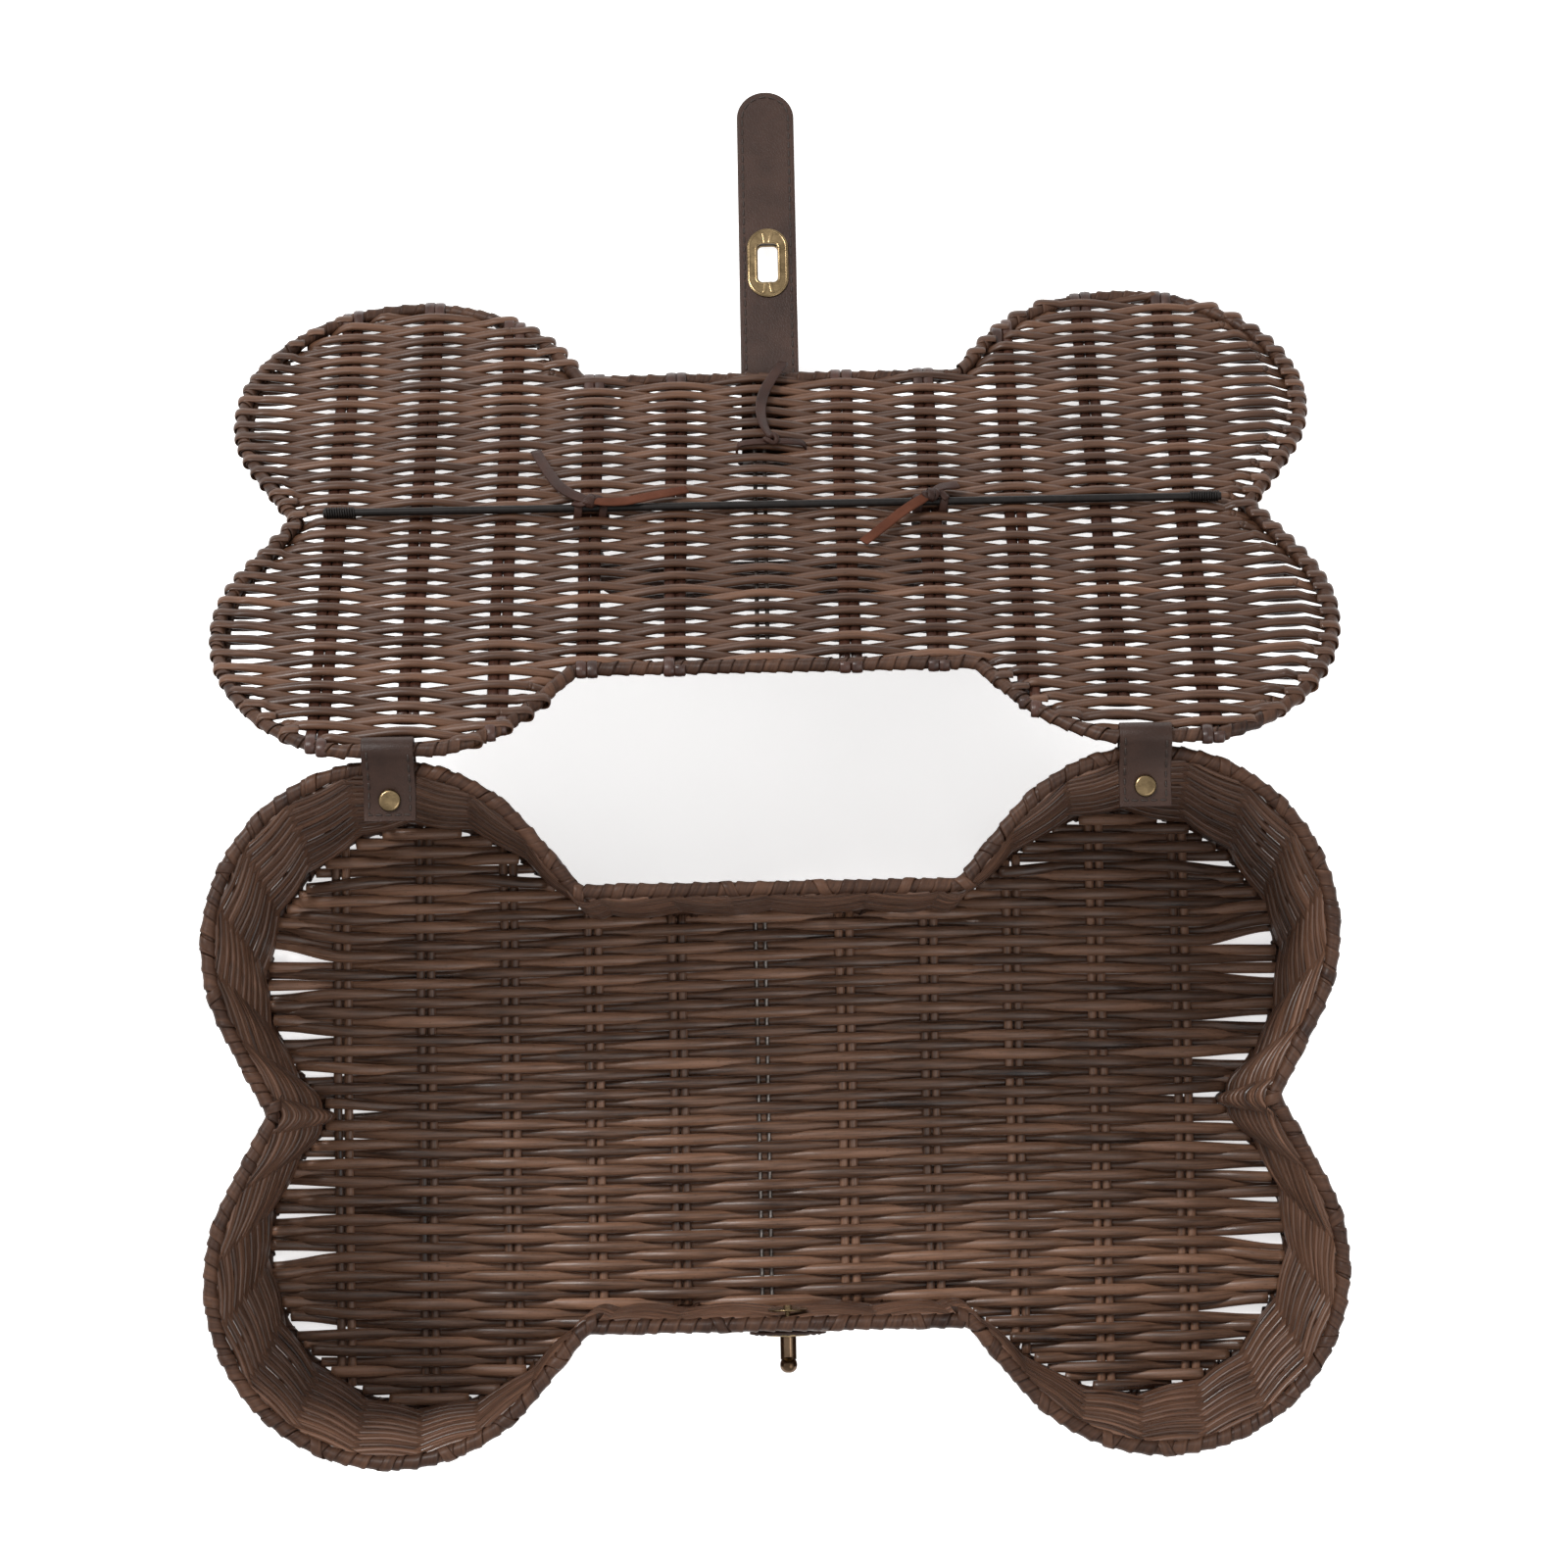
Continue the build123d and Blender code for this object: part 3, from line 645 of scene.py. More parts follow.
def stake_ring(z):
    """Where the wall's stakes stand at a height, anticlockwise from the back waist."""
    bone = wall_line(z)
    per_lobe = 8

    def between(a, b):
        return (a[0] + b[0]) / 2, (a[1] + b[1]) / 2

    def quarter(side_x, side_y):
        corner = bone.corner(side_y)
        first, last = bone.arc(side_y)
        points = [(20.0, corner[1]), (58.0, corner[1]), corner, between(corner, bone.on_lobe(first))]
        points += [bone.on_lobe(first + (last - first) * (k + 0.5) / per_lobe) for k in range(per_lobe)]
        points.append(between(bone.on_lobe(last), (bone.notch(), 0.0)))
        return [(side_x * x, side_y * y) for x, y in points]

    ring = quarter(-1, 1) + [(-bone.notch(), 0.0)] + quarter(-1, -1)[::-1]
    ring += quarter(1, -1) + [(bone.notch(), 0.0)] + quarter(1, 1)[::-1]
    return np.array(ring)


def outward(ring):
    """Which way is out of a closed anticlockwise ring, at each of its points."""
    way = closed_way(ring)
    return np.column_stack([way[:, 1], -way[:, 0]])


def wall_rows():
    """Thin rods round the wall in bands of three, in front of one stake and behind the next."""
    pitch, band, per_span, parts = 2.92, 3, 9, 4
    width, thick, swing_mean = 2.95, 2.35, 2.35
    count = int((WALL_TOP - WALL_LOW) / pitch) + 1
    pieces = [Strands(31 + k) for k in range(parts)]
    rng = np.random.default_rng(8)
    for row in range(count):
        ring = stake_ring(WALL_LOW + row * pitch)
        turn = np.where((np.arange(len(ring)) + row // band) % 2 == 0, 1.0, -1.0)
        swing = swing_mean + 0.25 * rng.standard_normal(len(ring)).clip(-1, 1)
        anchors = ring + outward(ring) * (turn * swing)[:, None]
        drift = 0.22 * rng.standard_normal(len(ring)).clip(-1.5, 1.5)
        heights = WALL_LOW + row * pitch + drift
        line = through(np.column_stack([anchors, heights]), per_span, closed=True)
        face = np.column_stack([outward(line[:, :2]), np.zeros(len(line))])
        along = lengths(line)
        widths = width * (1 + wobble(rng, along, 0.06, 260.0))
        tone = 0.5 + wobble(rng, along, 0.5, 500.0)
        pieces[min(parts - 1, row * parts // count)].add(line, widths, thick, face, closed=True, tone=tone)
    for k, strands in enumerate(pieces):
        strands.made(f"wall_weave_{k + 1}", WALL_WILLOW, "basket", "willow", ["wall_weave"])


def stake_tip(rng, head, middle, way):
    """A stake's split tip, from its head out over the rim's rod and back inside: its line and its faces."""
    out = np.array([*way, 0.0])
    beside = np.array([-way[1], way[0], 0.0])
    up = np.array([0, 0, 1.0])
    aside = beside * rng.uniform(-2.0, 2.0)
    lean = beside * rng.uniform(3.0, 6.0) * rng.choice([-1, 1])
    reach = 3.0
    path = [head - out * 0.6 - up * 8.0]
    for step, angle in enumerate(np.radians([-35, 20, 65, 115, 165, 215])):
        turn = out * math.cos(angle) + up * math.sin(angle)
        path.append(middle + turn * reach + aside + lean * step / 5)
    path.append(head - out * 1.0 + aside + lean * 1.25 - up * 6.0)
    line = through(path, 5)
    face = line - middle
    face -= (face @ beside)[:, None] * beside
    return line, face


def wall_sticks():
    """Upright stakes, and their split tips turned over the rim except where a hinge strap is."""
    strands = Strands(41)
    tips = Strands(42)
    low, high, step = 2.0, 176.5, 6.0
    width, thick, tip_w, tip_t, strap_room, back_y = 3.3, 2.5, 4.6, 0.7, 3.0, 100.0
    feet, heads, tops = stake_ring(low), stake_ring(high), stake_ring(RIM_Z)
    for foot, head, top, way in zip(feet, heads, tops, outward(tops)):
        foot = np.array([*foot, low])
        head = np.array([*head, high])
        strands.add(even([foot, head], step), width, thick, np.array([*way, 0.0]), sides=8)
        if abs(abs(top[0]) - HINGE_X) < HINGE_W / 2 + strap_room and top[1] > back_y:
            continue
        line, face = stake_tip(strands.rng, head, np.array([*top, RIM_Z]), way)
        tips.add(line, tip_w, tip_t, face, sides=8, square=0.8)
    strands.made("wall_stake_rods", DARK_STAKE, "basket", "willow_dark", ["wall_stakes"])
    tips.made("wall_stake_tips", STRIP, "basket", "willow_dark", ["wall_stakes"])


# Bound rods of the rim, hoop and lid


def bound_rod(name, line, rod_r, body, replaces, seed, pitch=6.8):
    """A rod along a closed line, with a flat split strip wound round it, each turn lapping the last."""
    strip_t, lap, per_turn = 0.55, 1.12, 20
    strands = Strands(seed)
    rng = strands.rng
    line = even(line, FINE, closed=True)
    total = lengths(np.vstack([line, line[:1]]))[-1]
    spot = np.arange(len(line)) * total / len(line)
    tangent = closed_way(line, 3)
    up = np.array([0.0, 0.0, 1.0])
    side = np.cross(tangent, up)
    turns = []
    at = 0.0
    while at < total:
        turns.append(at)
        at += pitch * rng.uniform(0.78, 1.22)
    turns = np.array(turns) * total / at
    t = np.arange(len(turns) * per_turn) / per_turn
    along = np.interp(t, np.arange(len(turns) + 1), np.append(turns, total))
    angle = 2 * math.pi * t + wobble(rng, t, 0.5, 9.0)

    def at_spot(values):
        return np.column_stack([np.interp(along, spot, values[:, i], period=total) for i in range(3)])

    radial = at_spot(side) * np.cos(angle)[:, None] + up * np.sin(angle)[:, None]
    lift = 0.2 + 0.12 * wobble(rng, t, 1.0, 2.7)
    path = at_spot(line) + radial * (rod_r + lift)[:, None]
    face = radial - at_spot(tangent) * 0.085
    width = pitch * lap * (1 + wobble(rng, t, 0.08, 5.0))
    tone = 0.45 + wobble(rng, t, 0.45, 7.0)
    add = strands.add_on_lid if body == "lid" else strands.add
    add(path, width, strip_t, face, sides=8, square=0.7, tone=tone)
    add(line, 2 * rod_r, 2 * rod_r, side, closed=True, sides=10)
    strands.made(name, STRIP, body, "split_willow", replaces)


def rod_path(outline, z=0.0):
    """A closed line for a bound rod, its sharp corners eased."""
    line = softened(even(outline, FINE, closed=True), 5)
    return np.column_stack([line, np.full(len(line), z)])


def lid_edge():
    """The lid's outline in its own plane, cut off flat along the hinge."""
    line = LID_LINE.outline() + np.array([0.0, LID_HALF])
    line[:, 1] = np.maximum(line[:, 1], 0.0)
    return line


base_rows()
base_sticks()
wall_rows()
wall_sticks()
rim = rod_path(wall_line(RIM_Z).outline(), RIM_Z)
hoop = rod_path(wall_line(HOOP_R).outline(), HOOP_R)
bound_rod("rim_bound_rod", rim, BINDING_R, "basket", ["rim_binding"], 51)
bound_rod("base_bound_hoop", hoop, 2.0, "basket", ["base_hoop"], 52, pitch=9.0)


# Lid


def lid_wave(x, row):
    """How far a lid rod swings up or down, from -1 to 1, for a row's place across the stakes."""
    return signed_power(np.cos(math.pi * ((x - STAKE_OFFSET) / LID_PITCH + row)), 1.2)


def turned_end(x_edge, t, way, height):
    """Points that carry a rod's end over the border's rod, round it and back under."""
    sign = 1.0 if height > 0 else -1.0
    drift = 1.6
    over = [(-6.5, 2.2), (-2.6, 2.7), (0.6, 2.8), (2.8, 1.8), (3.5, 0.0)]
    steps = over + [(2.6, -2.2), (0.0, -2.9), (-4.5, -2.6)]
    return [(x_edge + way * d, t + drift * k / len(steps), sign * m) for k, (d, m) in enumerate(steps)]


def lid_rod_end(edge, x_edge, t_row, way, turns, last):
    """Points from the last of a lid rod's own line to its end, turned round the border or cut off."""
    if near_hinge_strap(x_edge, t_row):
        return []
    if turns and abs(edge_way(edge, x_edge, t_row)) > 0.42:
        return turned_end(x_edge, last[0], way, last[1] if abs(last[1]) > 0.1 else 1)
    return [(x_edge - way * 1.5, last[0], -2.4)]


def lid_rows():
    """Rods across the lid. At each pair of stakes, one rod in front and its neighbour behind close up."""
    pitch, first_t, gather, lift, parts = 3.9, 1.6, 0.35, 2.15, 3
    shortest, margin, step, taper = 16.0, 9.0, 2.5, 12.0
    edge = lid_edge()
    pieces = [Strands(61 + k) for k in range(parts)]
    rng = np.random.default_rng(9)
    count = int(2 * LID_HALF / pitch) + 1
    for row in range(1, count):
        t0 = first_t + row * pitch
        if abs(t0 - LID_HALF) < 1.6:
            continue
        for x0, x1 in crossings(edge, t0):
            if x1 - x0 < shortest:
                continue
            x = np.arange(x0 + margin, x1 - margin, step)
            wave = lid_wave(x, row)
            bow = 1.6 * np.sin(x / 47.0 + t0 / 70.0) + 1.2 * np.sin(x / 83.0 - t0 / 51.0)
            t = t0 + gather * wave + wobble(rng, x, 0.4, 170.0) + bow * lid_slack(t0)
            m = lift * wave + wobble(rng, x, 0.12, 60.0)
            line = np.column_stack([x, t, m])
            start = lid_rod_end(edge, x0, t0, -1, row % 2 == 0, (t[0], m[0]))[::-1]
            finish = lid_rod_end(edge, x1, t0, 1, row % 2 == 1, (t[-1], m[-1]))
            line = through(np.vstack([p for p in (start, line[::3], line[-1:], finish) if len(p)]), 3)
            width = 4.35 * (1 + wobble(rng, lengths(line), 0.06, 130.0)) * rng.uniform(0.94, 1.05)
            thick = 1.2 + 2.1 * ease(np.minimum(line[:, 0] - x0, x1 - line[:, 0]) / taper)
            face = np.cross(unit(np.gradient(line, axis=0)), [0.0, -1.0, 0.0])
            strands = pieces[min(parts - 1, row * parts // count)]
            strands.add_on_lid(line, width, thick, face, sides=10, tone=rng.random() ** 1.3)
    for k, strands in enumerate(pieces):
        strands.made(f"lid_weave_{k + 1}", LID_WILLOW, "lid", "willow", ["lid_weave"])


def lid_slack(t):
    """How freely a row may bow: not at all beside the cross rod and the straight edges."""
    room = min(abs(t - LID_HALF), abs(t - LID_HALF + 90.0), abs(t - LID_HALF - 86.0))
    return min(1.0, room / 22.0)


def edge_way(edge, x, t):
    """How squarely a row at t meets the outline near x: 1 for square on, 0 for alongside."""
    near = np.argmin(np.hypot(edge[:, 0] - x, edge[:, 1] - t))
    ahead = edge[(near + 1) % len(edge)] - edge[near - 1]
    return ahead[1] / np.hypot(*ahead)


def near_hinge_strap(x, t):
    """Whether a rod's end would meet a hinge strap."""
    return t < 17.5 and abs(abs(x + LID_SHIFT) - HINGE_X) < HINGE_W / 2 + 4.0


def lid_sticks():
    """Dark flat stakes in pairs, their ends turned round the border."""
    width, from_border, step, taper, past_strap = 4.7, 8.0, 4.0, 12.0, 18.0
    strands = Strands(71)
    edge = lid_edge()[:, ::-1]
    hook = ((3.4, 2.1), (0.4, 2.8), (-2.8, 1.9), (-3.6, -0.6), (-1.8, -2.9))
    for x0 in stake_pairs(LID_PITCH, 2.3):
        for low, high in crossings(edge, x0):
            t = np.arange(low + from_border, high - from_border + 1.0, step)
            x = x0 + wobble(strands.rng, t, 0.3, 170.0)
            m = wobble(strands.rng, t, 0.12, 80.0)
            way = strands.rng.choice([-1.0, 1.0])
            first = [(x[0], low + d, way * h) for d, h in hook[::-1]]
            last = [(x[-1], high - d, h) for d, h in hook]
            points = np.vstack([first, np.column_stack([x, t, m]), last])
            if near_hinge_strap(x0, low):
                points = points[points[:, 1] > past_strap]
            line = through(points, 2)
            face = np.cross(np.array([1.0, 0.0, 0.0]), np.gradient(line, axis=0))
            thick = 1.1 + 0.8 * ease(np.minimum(line[:, 1] - low, high - line[:, 1]) / taper)
            strands.add_on_lid(line, width, thick, face, sides=8, square=0.85)
    strands.made("lid_stake_pairs", DARK_STAKE, "lid", "willow_dark", ["lid_stakes"])


def rod_end_coils():
    """Fine wire wound round the ends of the cross rod."""
    wire, pitch, turns, per_turn = 0.9, 1.05, 12.0, 14
    strands = Strands(81)
    height = LID_T / 2 + GAP + CROSS_ROD_R
    reach = CROSS_ROD_R + 0.42
    for side in (-1, 1):
        t = np.arange(0.0, turns, 1 / per_turn)
        angle = 2 * math.pi * t
        x = side * (CROSS_ROD_HALF - 1.0 - t * pitch)
        line = np.column_stack([x, LID_HALF + reach * np.cos(angle), height + reach * np.sin(angle)])
        face = np.column_stack([0 * t, np.cos(angle), np.sin(angle)])
        strands.add_on_lid(line, wire, wire, face, sides=6)
    strands.made("rod_end_coils", BLACK, "lid", "black_steel", ["cross_rod_end_wraps"])


# Laces


# Each end's points from its knot, along X and out along the lid, with their heights, then length, roll and
# leather. The last end is too short to be a cord, so it has no length.
LOOSE_ENDS = {
    "left": (
        (((-10, 5, 9.0), (-18, 20, 7.0), (-24, 37, 5.9)), 47.0, -0.3, LACE),
        (((11, -3.5, 10.4), (26, 4, 8.0), (41, 10, 5.9)), 43.0, 0.3, SUEDE),
    ),
    "right": (
        (((-10, -8, 9.2), (-19, -16, 7.0), (-29, -26, 5.9)), 39.0, 0.3, SUEDE),
        (((4, 5, 8.8), (8, 7.5, 7.2), (12, 9, 6.4)), 0.0, -0.3, LACE),
    ),
}


def laid(route):
    """Points along the smooth line that a lace's loose end takes from its route's few points."""
    data = bpy.data.curves.new("route", "CURVE")
    data.dimensions = "3D"
    data.resolution_u = 10
    spline = data.splines.new("NURBS")
    spline.points.add(len(route) - 1)
    for control, point in zip(spline.points, route):
        control.co = (*point, 1.0)
    spline.order_u = 3
    spline.use_endpoint_u = True
    thing = bpy.data.objects.new("route", data)
    mesh = bpy.data.meshes.new_from_object(thing)
    line = np.array([vertex.co for vertex in mesh.vertices])
    bpy.data.objects.remove(thing)
    bpy.data.curves.remove(data)
    bpy.data.meshes.remove(mesh)
    return line


def loose_end(name, route, roll, paint, node):
    """A lace's loose end: flat leather from its knot, cut off bare. With no length, it isn't a cord."""
    line = laid(route)
    path = on_lid(line)
    turn = np.linspace(roll, -0.2 * roll, len(line))
    face = np.column_stack([np.sin(turn), 0 * turn, np.cos(turn)])
    strands = Strands(95)
    width = LACE_W - 1.2 * ease(1 - lengths(path) / 6.0)
    strands.add_on_lid(line, width, LACE_T, face, square=0.55, sides=12)
    piece = strands.made(name, paint, "lid", "lace_leather", [node])


def knot(strands, middle, reach, width, rise, turn=0.0):
    """A lace's knot seen from inside the lid: a closed loop that dips and rises twice."""
    x, t, m = middle
    thick = 2.0
    loop = [
        (x + reach[0] * math.cos(a), t + reach[1] * math.sin(a), m + rise * math.sin(2 * a + turn))
        for a in np.radians(np.arange(0, 360, 40))
    ]
    strands.add_on_lid(through(loop, 5, closed=True), width, thick, closed=True, sides=10)


def lace_legs(loops, x, over):
    """The lace's two rounds about the handle's eye and the cross rod, and its short run under the eye."""
    apart, reach, depth, width, thick, under_w = 5.6, 3.1, 7.6, 3.5, 1.2, 2.4
    for k, leg in enumerate((-apart, apart)):
        ring = []
        for angle in np.radians(np.arange(0, 360, 30)):
            c, s = math.cos(angle), math.sin(angle)
            t = LID_HALF + reach * c * (1.0 if s > -0.3 else 0.8)
            m = 0.2 + (over - 0.9 if s > 0 else depth) * s
            ring.append((x + leg + 0.7 * math.sin(angle + k), t, m))
        line = through(ring, 4, closed=True)
        face = (line - np.array([x + leg, LID_HALF, 0.0])) * [0, 1, 1]
        loops.add_on_lid(line, width, thick, face, closed=True, square=0.7, sides=10)
    under = through([(x - 6.8, LID_HALF, -7.9), (x, LID_HALF, -8.1), (x + 6.8, LID_HALF, -7.9)], 8)
    loops.add_on_lid(under, under_w, under_w, sides=10)


def lace_ties():
    """Flat leather laces that hold the handle's eyes to the cross rod, knotted on the inside."""
    over = LID_T / 2 + GAP + 2 * CROSS_ROD_R + 0.8
    top = over + 0.5
    foot = over - 0.4
    bow_w, wrap_w, wrap_t = 3.5, 3.3, 1.2
    bow = [(-7, 1, foot), (-3, -1.6, top + 0.8), (0, 0.2, top + 2.0), (3.4, 2.0, top + 0.9), (7, -1, foot)]
    for side, name in SIDES:
        x = STAKE_OFFSET + side * HANDLE_HALF
        loops = Strands(90 + side)
        lace_legs(loops, x, over)
        line = through([(x + a, LID_HALF + b, m) for a, b, m in bow], 6)
        loops.add_on_lid(line, bow_w, LACE_T, square=0.7, sides=10)
        knot(loops, (x, LID_HALF, top + 1.0), (2.6, 2.1), 2.6, 0.9, side)
        wrap = [(x + 0.4 * math.sin(a), LID_HALF + 2.9 * math.cos(a), top + 0.8 + 1.9 * math.sin(a))
                for a in np.radians(np.arange(-40, 221, 26))]
        line = through(wrap, 4)
        face = line - np.array([x, LID_HALF, top - 0.6])
        loops.add_on_lid(line, wrap_w, wrap_t, face, square=0.7, sides=10)
        loops.made(f"lace_{name}_tie", LACE, "lid", "lace_leather", [f"lace_{name}"])
    for side, name in SIDES:
        x = STAKE_OFFSET + side * HANDLE_HALF
        for number, (steps, length, roll, paint) in enumerate(LOOSE_ENDS[name], 1):
            route = [(x, LID_HALF, over + 1.6)] + [(x + a, LID_HALF + b, m) for a, b, m in steps]
            loose_end(f"lace_{name}_end_{number}", route, roll, paint, f"lace_{name}")


def centre_lace():
    """The lace that ties the closure strap's root down, with one long loose end."""
    strands = Strands(101)
    t = BEND_T - STRAP_ROOT + 7.0
    x = LOCK_X - LID_SHIFT
    width, thick = 3.6, 1.2
    half = STRAP_W / 2 + 1.6
    low = BEND_M - STRAP_T / 2 - 0.9
    left = [(-half * 0.6, 4.3), (-half, 2.4), (-half, low + 1.4), (-half + 3, low)]
    right = [(-across, m) for across, m in left[::-1]]
    ring = [(x + across, t, m) for across, m in [(0.0, 4.6), *left, (0.0, low), *right]]
    line = through(ring, 6, closed=True)
    face = (line - np.array([x, t, -1.0])) * [0.15, 1, 1]
    strands.add_on_lid(line, width, thick, face, closed=True, square=0.65, sides=10)
    knot(strands, (x, t, 6.0), (2.4, 2.2), 2.5, 0.8)
    strands.made("lace_centre_tie", LACE, "lid", "lace_leather", ["lace_centre"])
    steps = ((0.0, 0, 6.6), (-4.0, 8, 7.4), (-4.5, 25, 7.0), (1.0, 41, 7.2), (6.0, 51, 6.4))
    route = [(x + a, t + b, m) for a, b, m in steps]
    loose_end("lace_centre_end", route, 0.7, LACE, "lace_centre")


lid_rows()
lid_sticks()
rod_end_coils()
lace_ties()
centre_lace()
bound_rod("lid_bound_border", rod_path(lid_edge()), BINDING_R, "lid", ["lid_border_binding"], 53)


# Leather and metal cut from sheet


def finished(name, thing):
    """The thing's mesh with its modifiers or bevels worked out."""
    shown(thing)
    graph = bpy.context.evaluated_depsgraph_get()
    graph.update()
    mesh = bpy.data.meshes.new_from_object(thing.evaluated_get(graph))
    bpy.data.objects.remove(thing)
    mesh.name = name
    return bpy.data.objects.new(name, mesh)


def cut(name, loops, depth, bevel, place):
    """A flat piece with rounded edges. Its first loop is its outline and the others are holes."""
    curve = bpy.data.curves.new(name, "CURVE")
    curve.dimensions = "2D"
    curve.fill_mode = "BOTH"
    curve.extrude = (depth / 2 - bevel) * MM
    curve.bevel_depth = bevel * MM
    curve.bevel_resolution = 2
    curve.offset = -bevel * MM
    for loop in loops:
        spline = curve.splines.new("POLY")
        spline.points.add(len(loop) - 1)
        for point, (x, y) in zip(spline.points, loop):
            point.co = (x * MM, y * MM, 0.0, 1.0)
        spline.use_cyclic_u = True
    thing = finished(name, bpy.data.objects.new(name, curve))
    thing.data.transform(place)
    smooth(thing.data, 50)
    return thing


def plane_at(origin, x_way, z_way):
    """Where a flat piece goes: its middle in millimetres, its own x and the way it faces."""
    x_way, z_way = Vector(x_way).normalized(), Vector(z_way).normalized()
    return matrix_of((x_way, z_way.cross(x_way), z_way), origin)


def oblong(width, length, steps=16):
    """An outline with half-round ends, long way along Y."""
    radius = width / 2
    straight = (length - width) / 2
    loop = []
    for k in range(2 * steps + 2):
        angle = math.pi * k / (2 * steps + 1) * 2
        end = straight if angle < math.pi else -straight
        loop.append((radius * math.cos(angle), end + radius * math.sin(angle)))
    return loop


def round_rectangle(width, length, radius, steps=6):
    loop = []
    for k, (sx, sy) in enumerate(((1, 1), (-1, 1), (-1, -1), (1, -1))):
        for angle in np.linspace(0, math.pi / 2, steps) + k * math.pi / 2:
            x = sx * (width / 2 - radius) + radius * math.cos(angle)
            loop.append((x, sy * (length / 2 - radius) + radius * math.sin(angle)))
    return loop


def flat_face(origin, across, along, up):
    """How stitches are carried onto a flat face."""
    axes = np.array([across, along, up], float)

    def place(points):
        return origin + points @ axes, np.tile(axes[2], (len(points), 1))

    return place


def stitches(strands, line, place, length=3.1, gap=1.25):
    """A row of stitches along a flat line. place takes (x, y, height) to space and gives which way is up."""
    thick, bulge, sunk, steps = 0.8, 0.42, 0.22, 7
    line = np.asarray(line, float)
    along = lengths(line)
    rise = bulge * np.sin(np.linspace(0, math.pi, steps)) ** 0.5 - sunk
    for start in np.arange(gap, along[-1] - length, length + gap):
        at = np.linspace(start, start + length, steps)
        flat = np.column_stack([np.interp(at, along, line[:, i]) for i in range(2)])
        points, up = place(np.column_stack([flat, rise]))
        strands.add(points, thick, thick * 0.85, up, sides=6, tone=0.5)


STRAP_ROOM = np.array(on_lid([LOCK_X - LID_SHIFT, BEND_T, BEND_M]))
STRAP_SLOPE = math.asin((STRAP_ROOM[2] - STRAP_T / 2 - GAP) / STRAP_LENGTH)
BEND_REACH = 8.0


def strap_place(points):
    """Across the strap, along it from its bend, and up on its inner side, to space. Also which way is up."""
    points = np.asarray(points, float)
    v = np.linspace(-BEND_REACH, BEND_REACH, 33)
    slope = LID_SLOPE + (STRAP_SLOPE - LID_SLOPE) * ease((v + BEND_REACH) / (2 * BEND_REACH))
    step = v[1] - v[0]
    at = points[:, 1]
    before = np.minimum(at + BEND_REACH, 0.0)
    after = np.maximum(at - BEND_REACH, 0.0)

    def middle(start, turned, way):
        bent = start + way * np.concatenate([[0], np.cumsum(turned(slope[:-1]) * step)])
        return np.interp(at, v, bent) + way * (before * turned(LID_SLOPE) + after * turned(STRAP_SLOPE))

    y = middle(STRAP_ROOM[1] - BEND_REACH * math.cos(LID_SLOPE), np.cos, 1)
    z = middle(STRAP_ROOM[2] + BEND_REACH * math.sin(LID_SLOPE), np.sin, -1)
    angle = np.interp(at, v, slope)
    up = np.column_stack([0 * angle, np.sin(angle), np.cos(angle)])
    return np.column_stack([STRAP_ROOM[0] + points[:, 0], y, z]) + up * points[:, 2:3], up


def bend_over(thing):
    """Works out where the bend's ends fall, then bakes the strap piece's placing into its mesh."""
    ends, _ = strap_place([[0, -BEND_REACH, 0], [0, BEND_REACH, 0]])
    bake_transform(thing)


def flat_strap():
    """The closure strap laid flat: a round end, a blunt root and a slot under the eyelet."""
    half_w, slot_x, slot_y, root_r = STRAP_W / 2, 4.7, 9.6, 5.0
    columns = [-1.0, -0.9, -0.7, -slot_x / half_w, -0.16, 0.16, slot_x / half_w, 0.7, 0.9, 1.0]
    in_slot = range(3, 6)
    straight = STRAP_LENGTH - half_w
    root = -STRAP_ROOT + 6.6
    rows = [
        *np.linspace(-STRAP_ROOT + 1.6, root, 5),
        *np.arange(-50.0, -10.0, 4.0),
        *np.arange(-10.0, 11.0, 1.0),
        *np.arange(14.0, EYELET_AT - slot_y - 2, 4.0),
        *(EYELET_AT + step for step in (-slot_y, -3.2, 3.2, slot_y)),
        *np.arange(EYELET_AT + slot_y + 4, straight - 2, 4.0),
        *(straight + half_w * np.sin(np.linspace(0, math.pi / 2, 14)[:-1])),
        STRAP_LENGTH - 0.05,
    ]
    points = []
    for v in rows:
        half = half_w
        if v > straight:
            half = math.sqrt(max(0.4, half_w**2 - (v - straight) ** 2))
        if v < root:
            half = half_w - root_r + math.sqrt(max(0.0, root_r**2 - (root - v) ** 2))
        points += [(u * half * MM, v * MM, 0.0) for u in columns]
    faces = []
    wide = len(columns)
    for i in range(len(rows) - 1):
        slotted = abs((rows[i] + rows[i + 1]) / 2 - EYELET_AT) < slot_y
        for j in range(wide - 1):
            if not (slotted and j in in_slot):
                faces.append((i * wide + j, i * wide + j + 1, (i + 1) * wide + j + 1, (i + 1) * wide + j))
    mesh = bpy.data.meshes.new("strap_flat")
    mesh.from_pydata(points, [], faces)
    return bpy.data.objects.new("strap_flat", mesh)


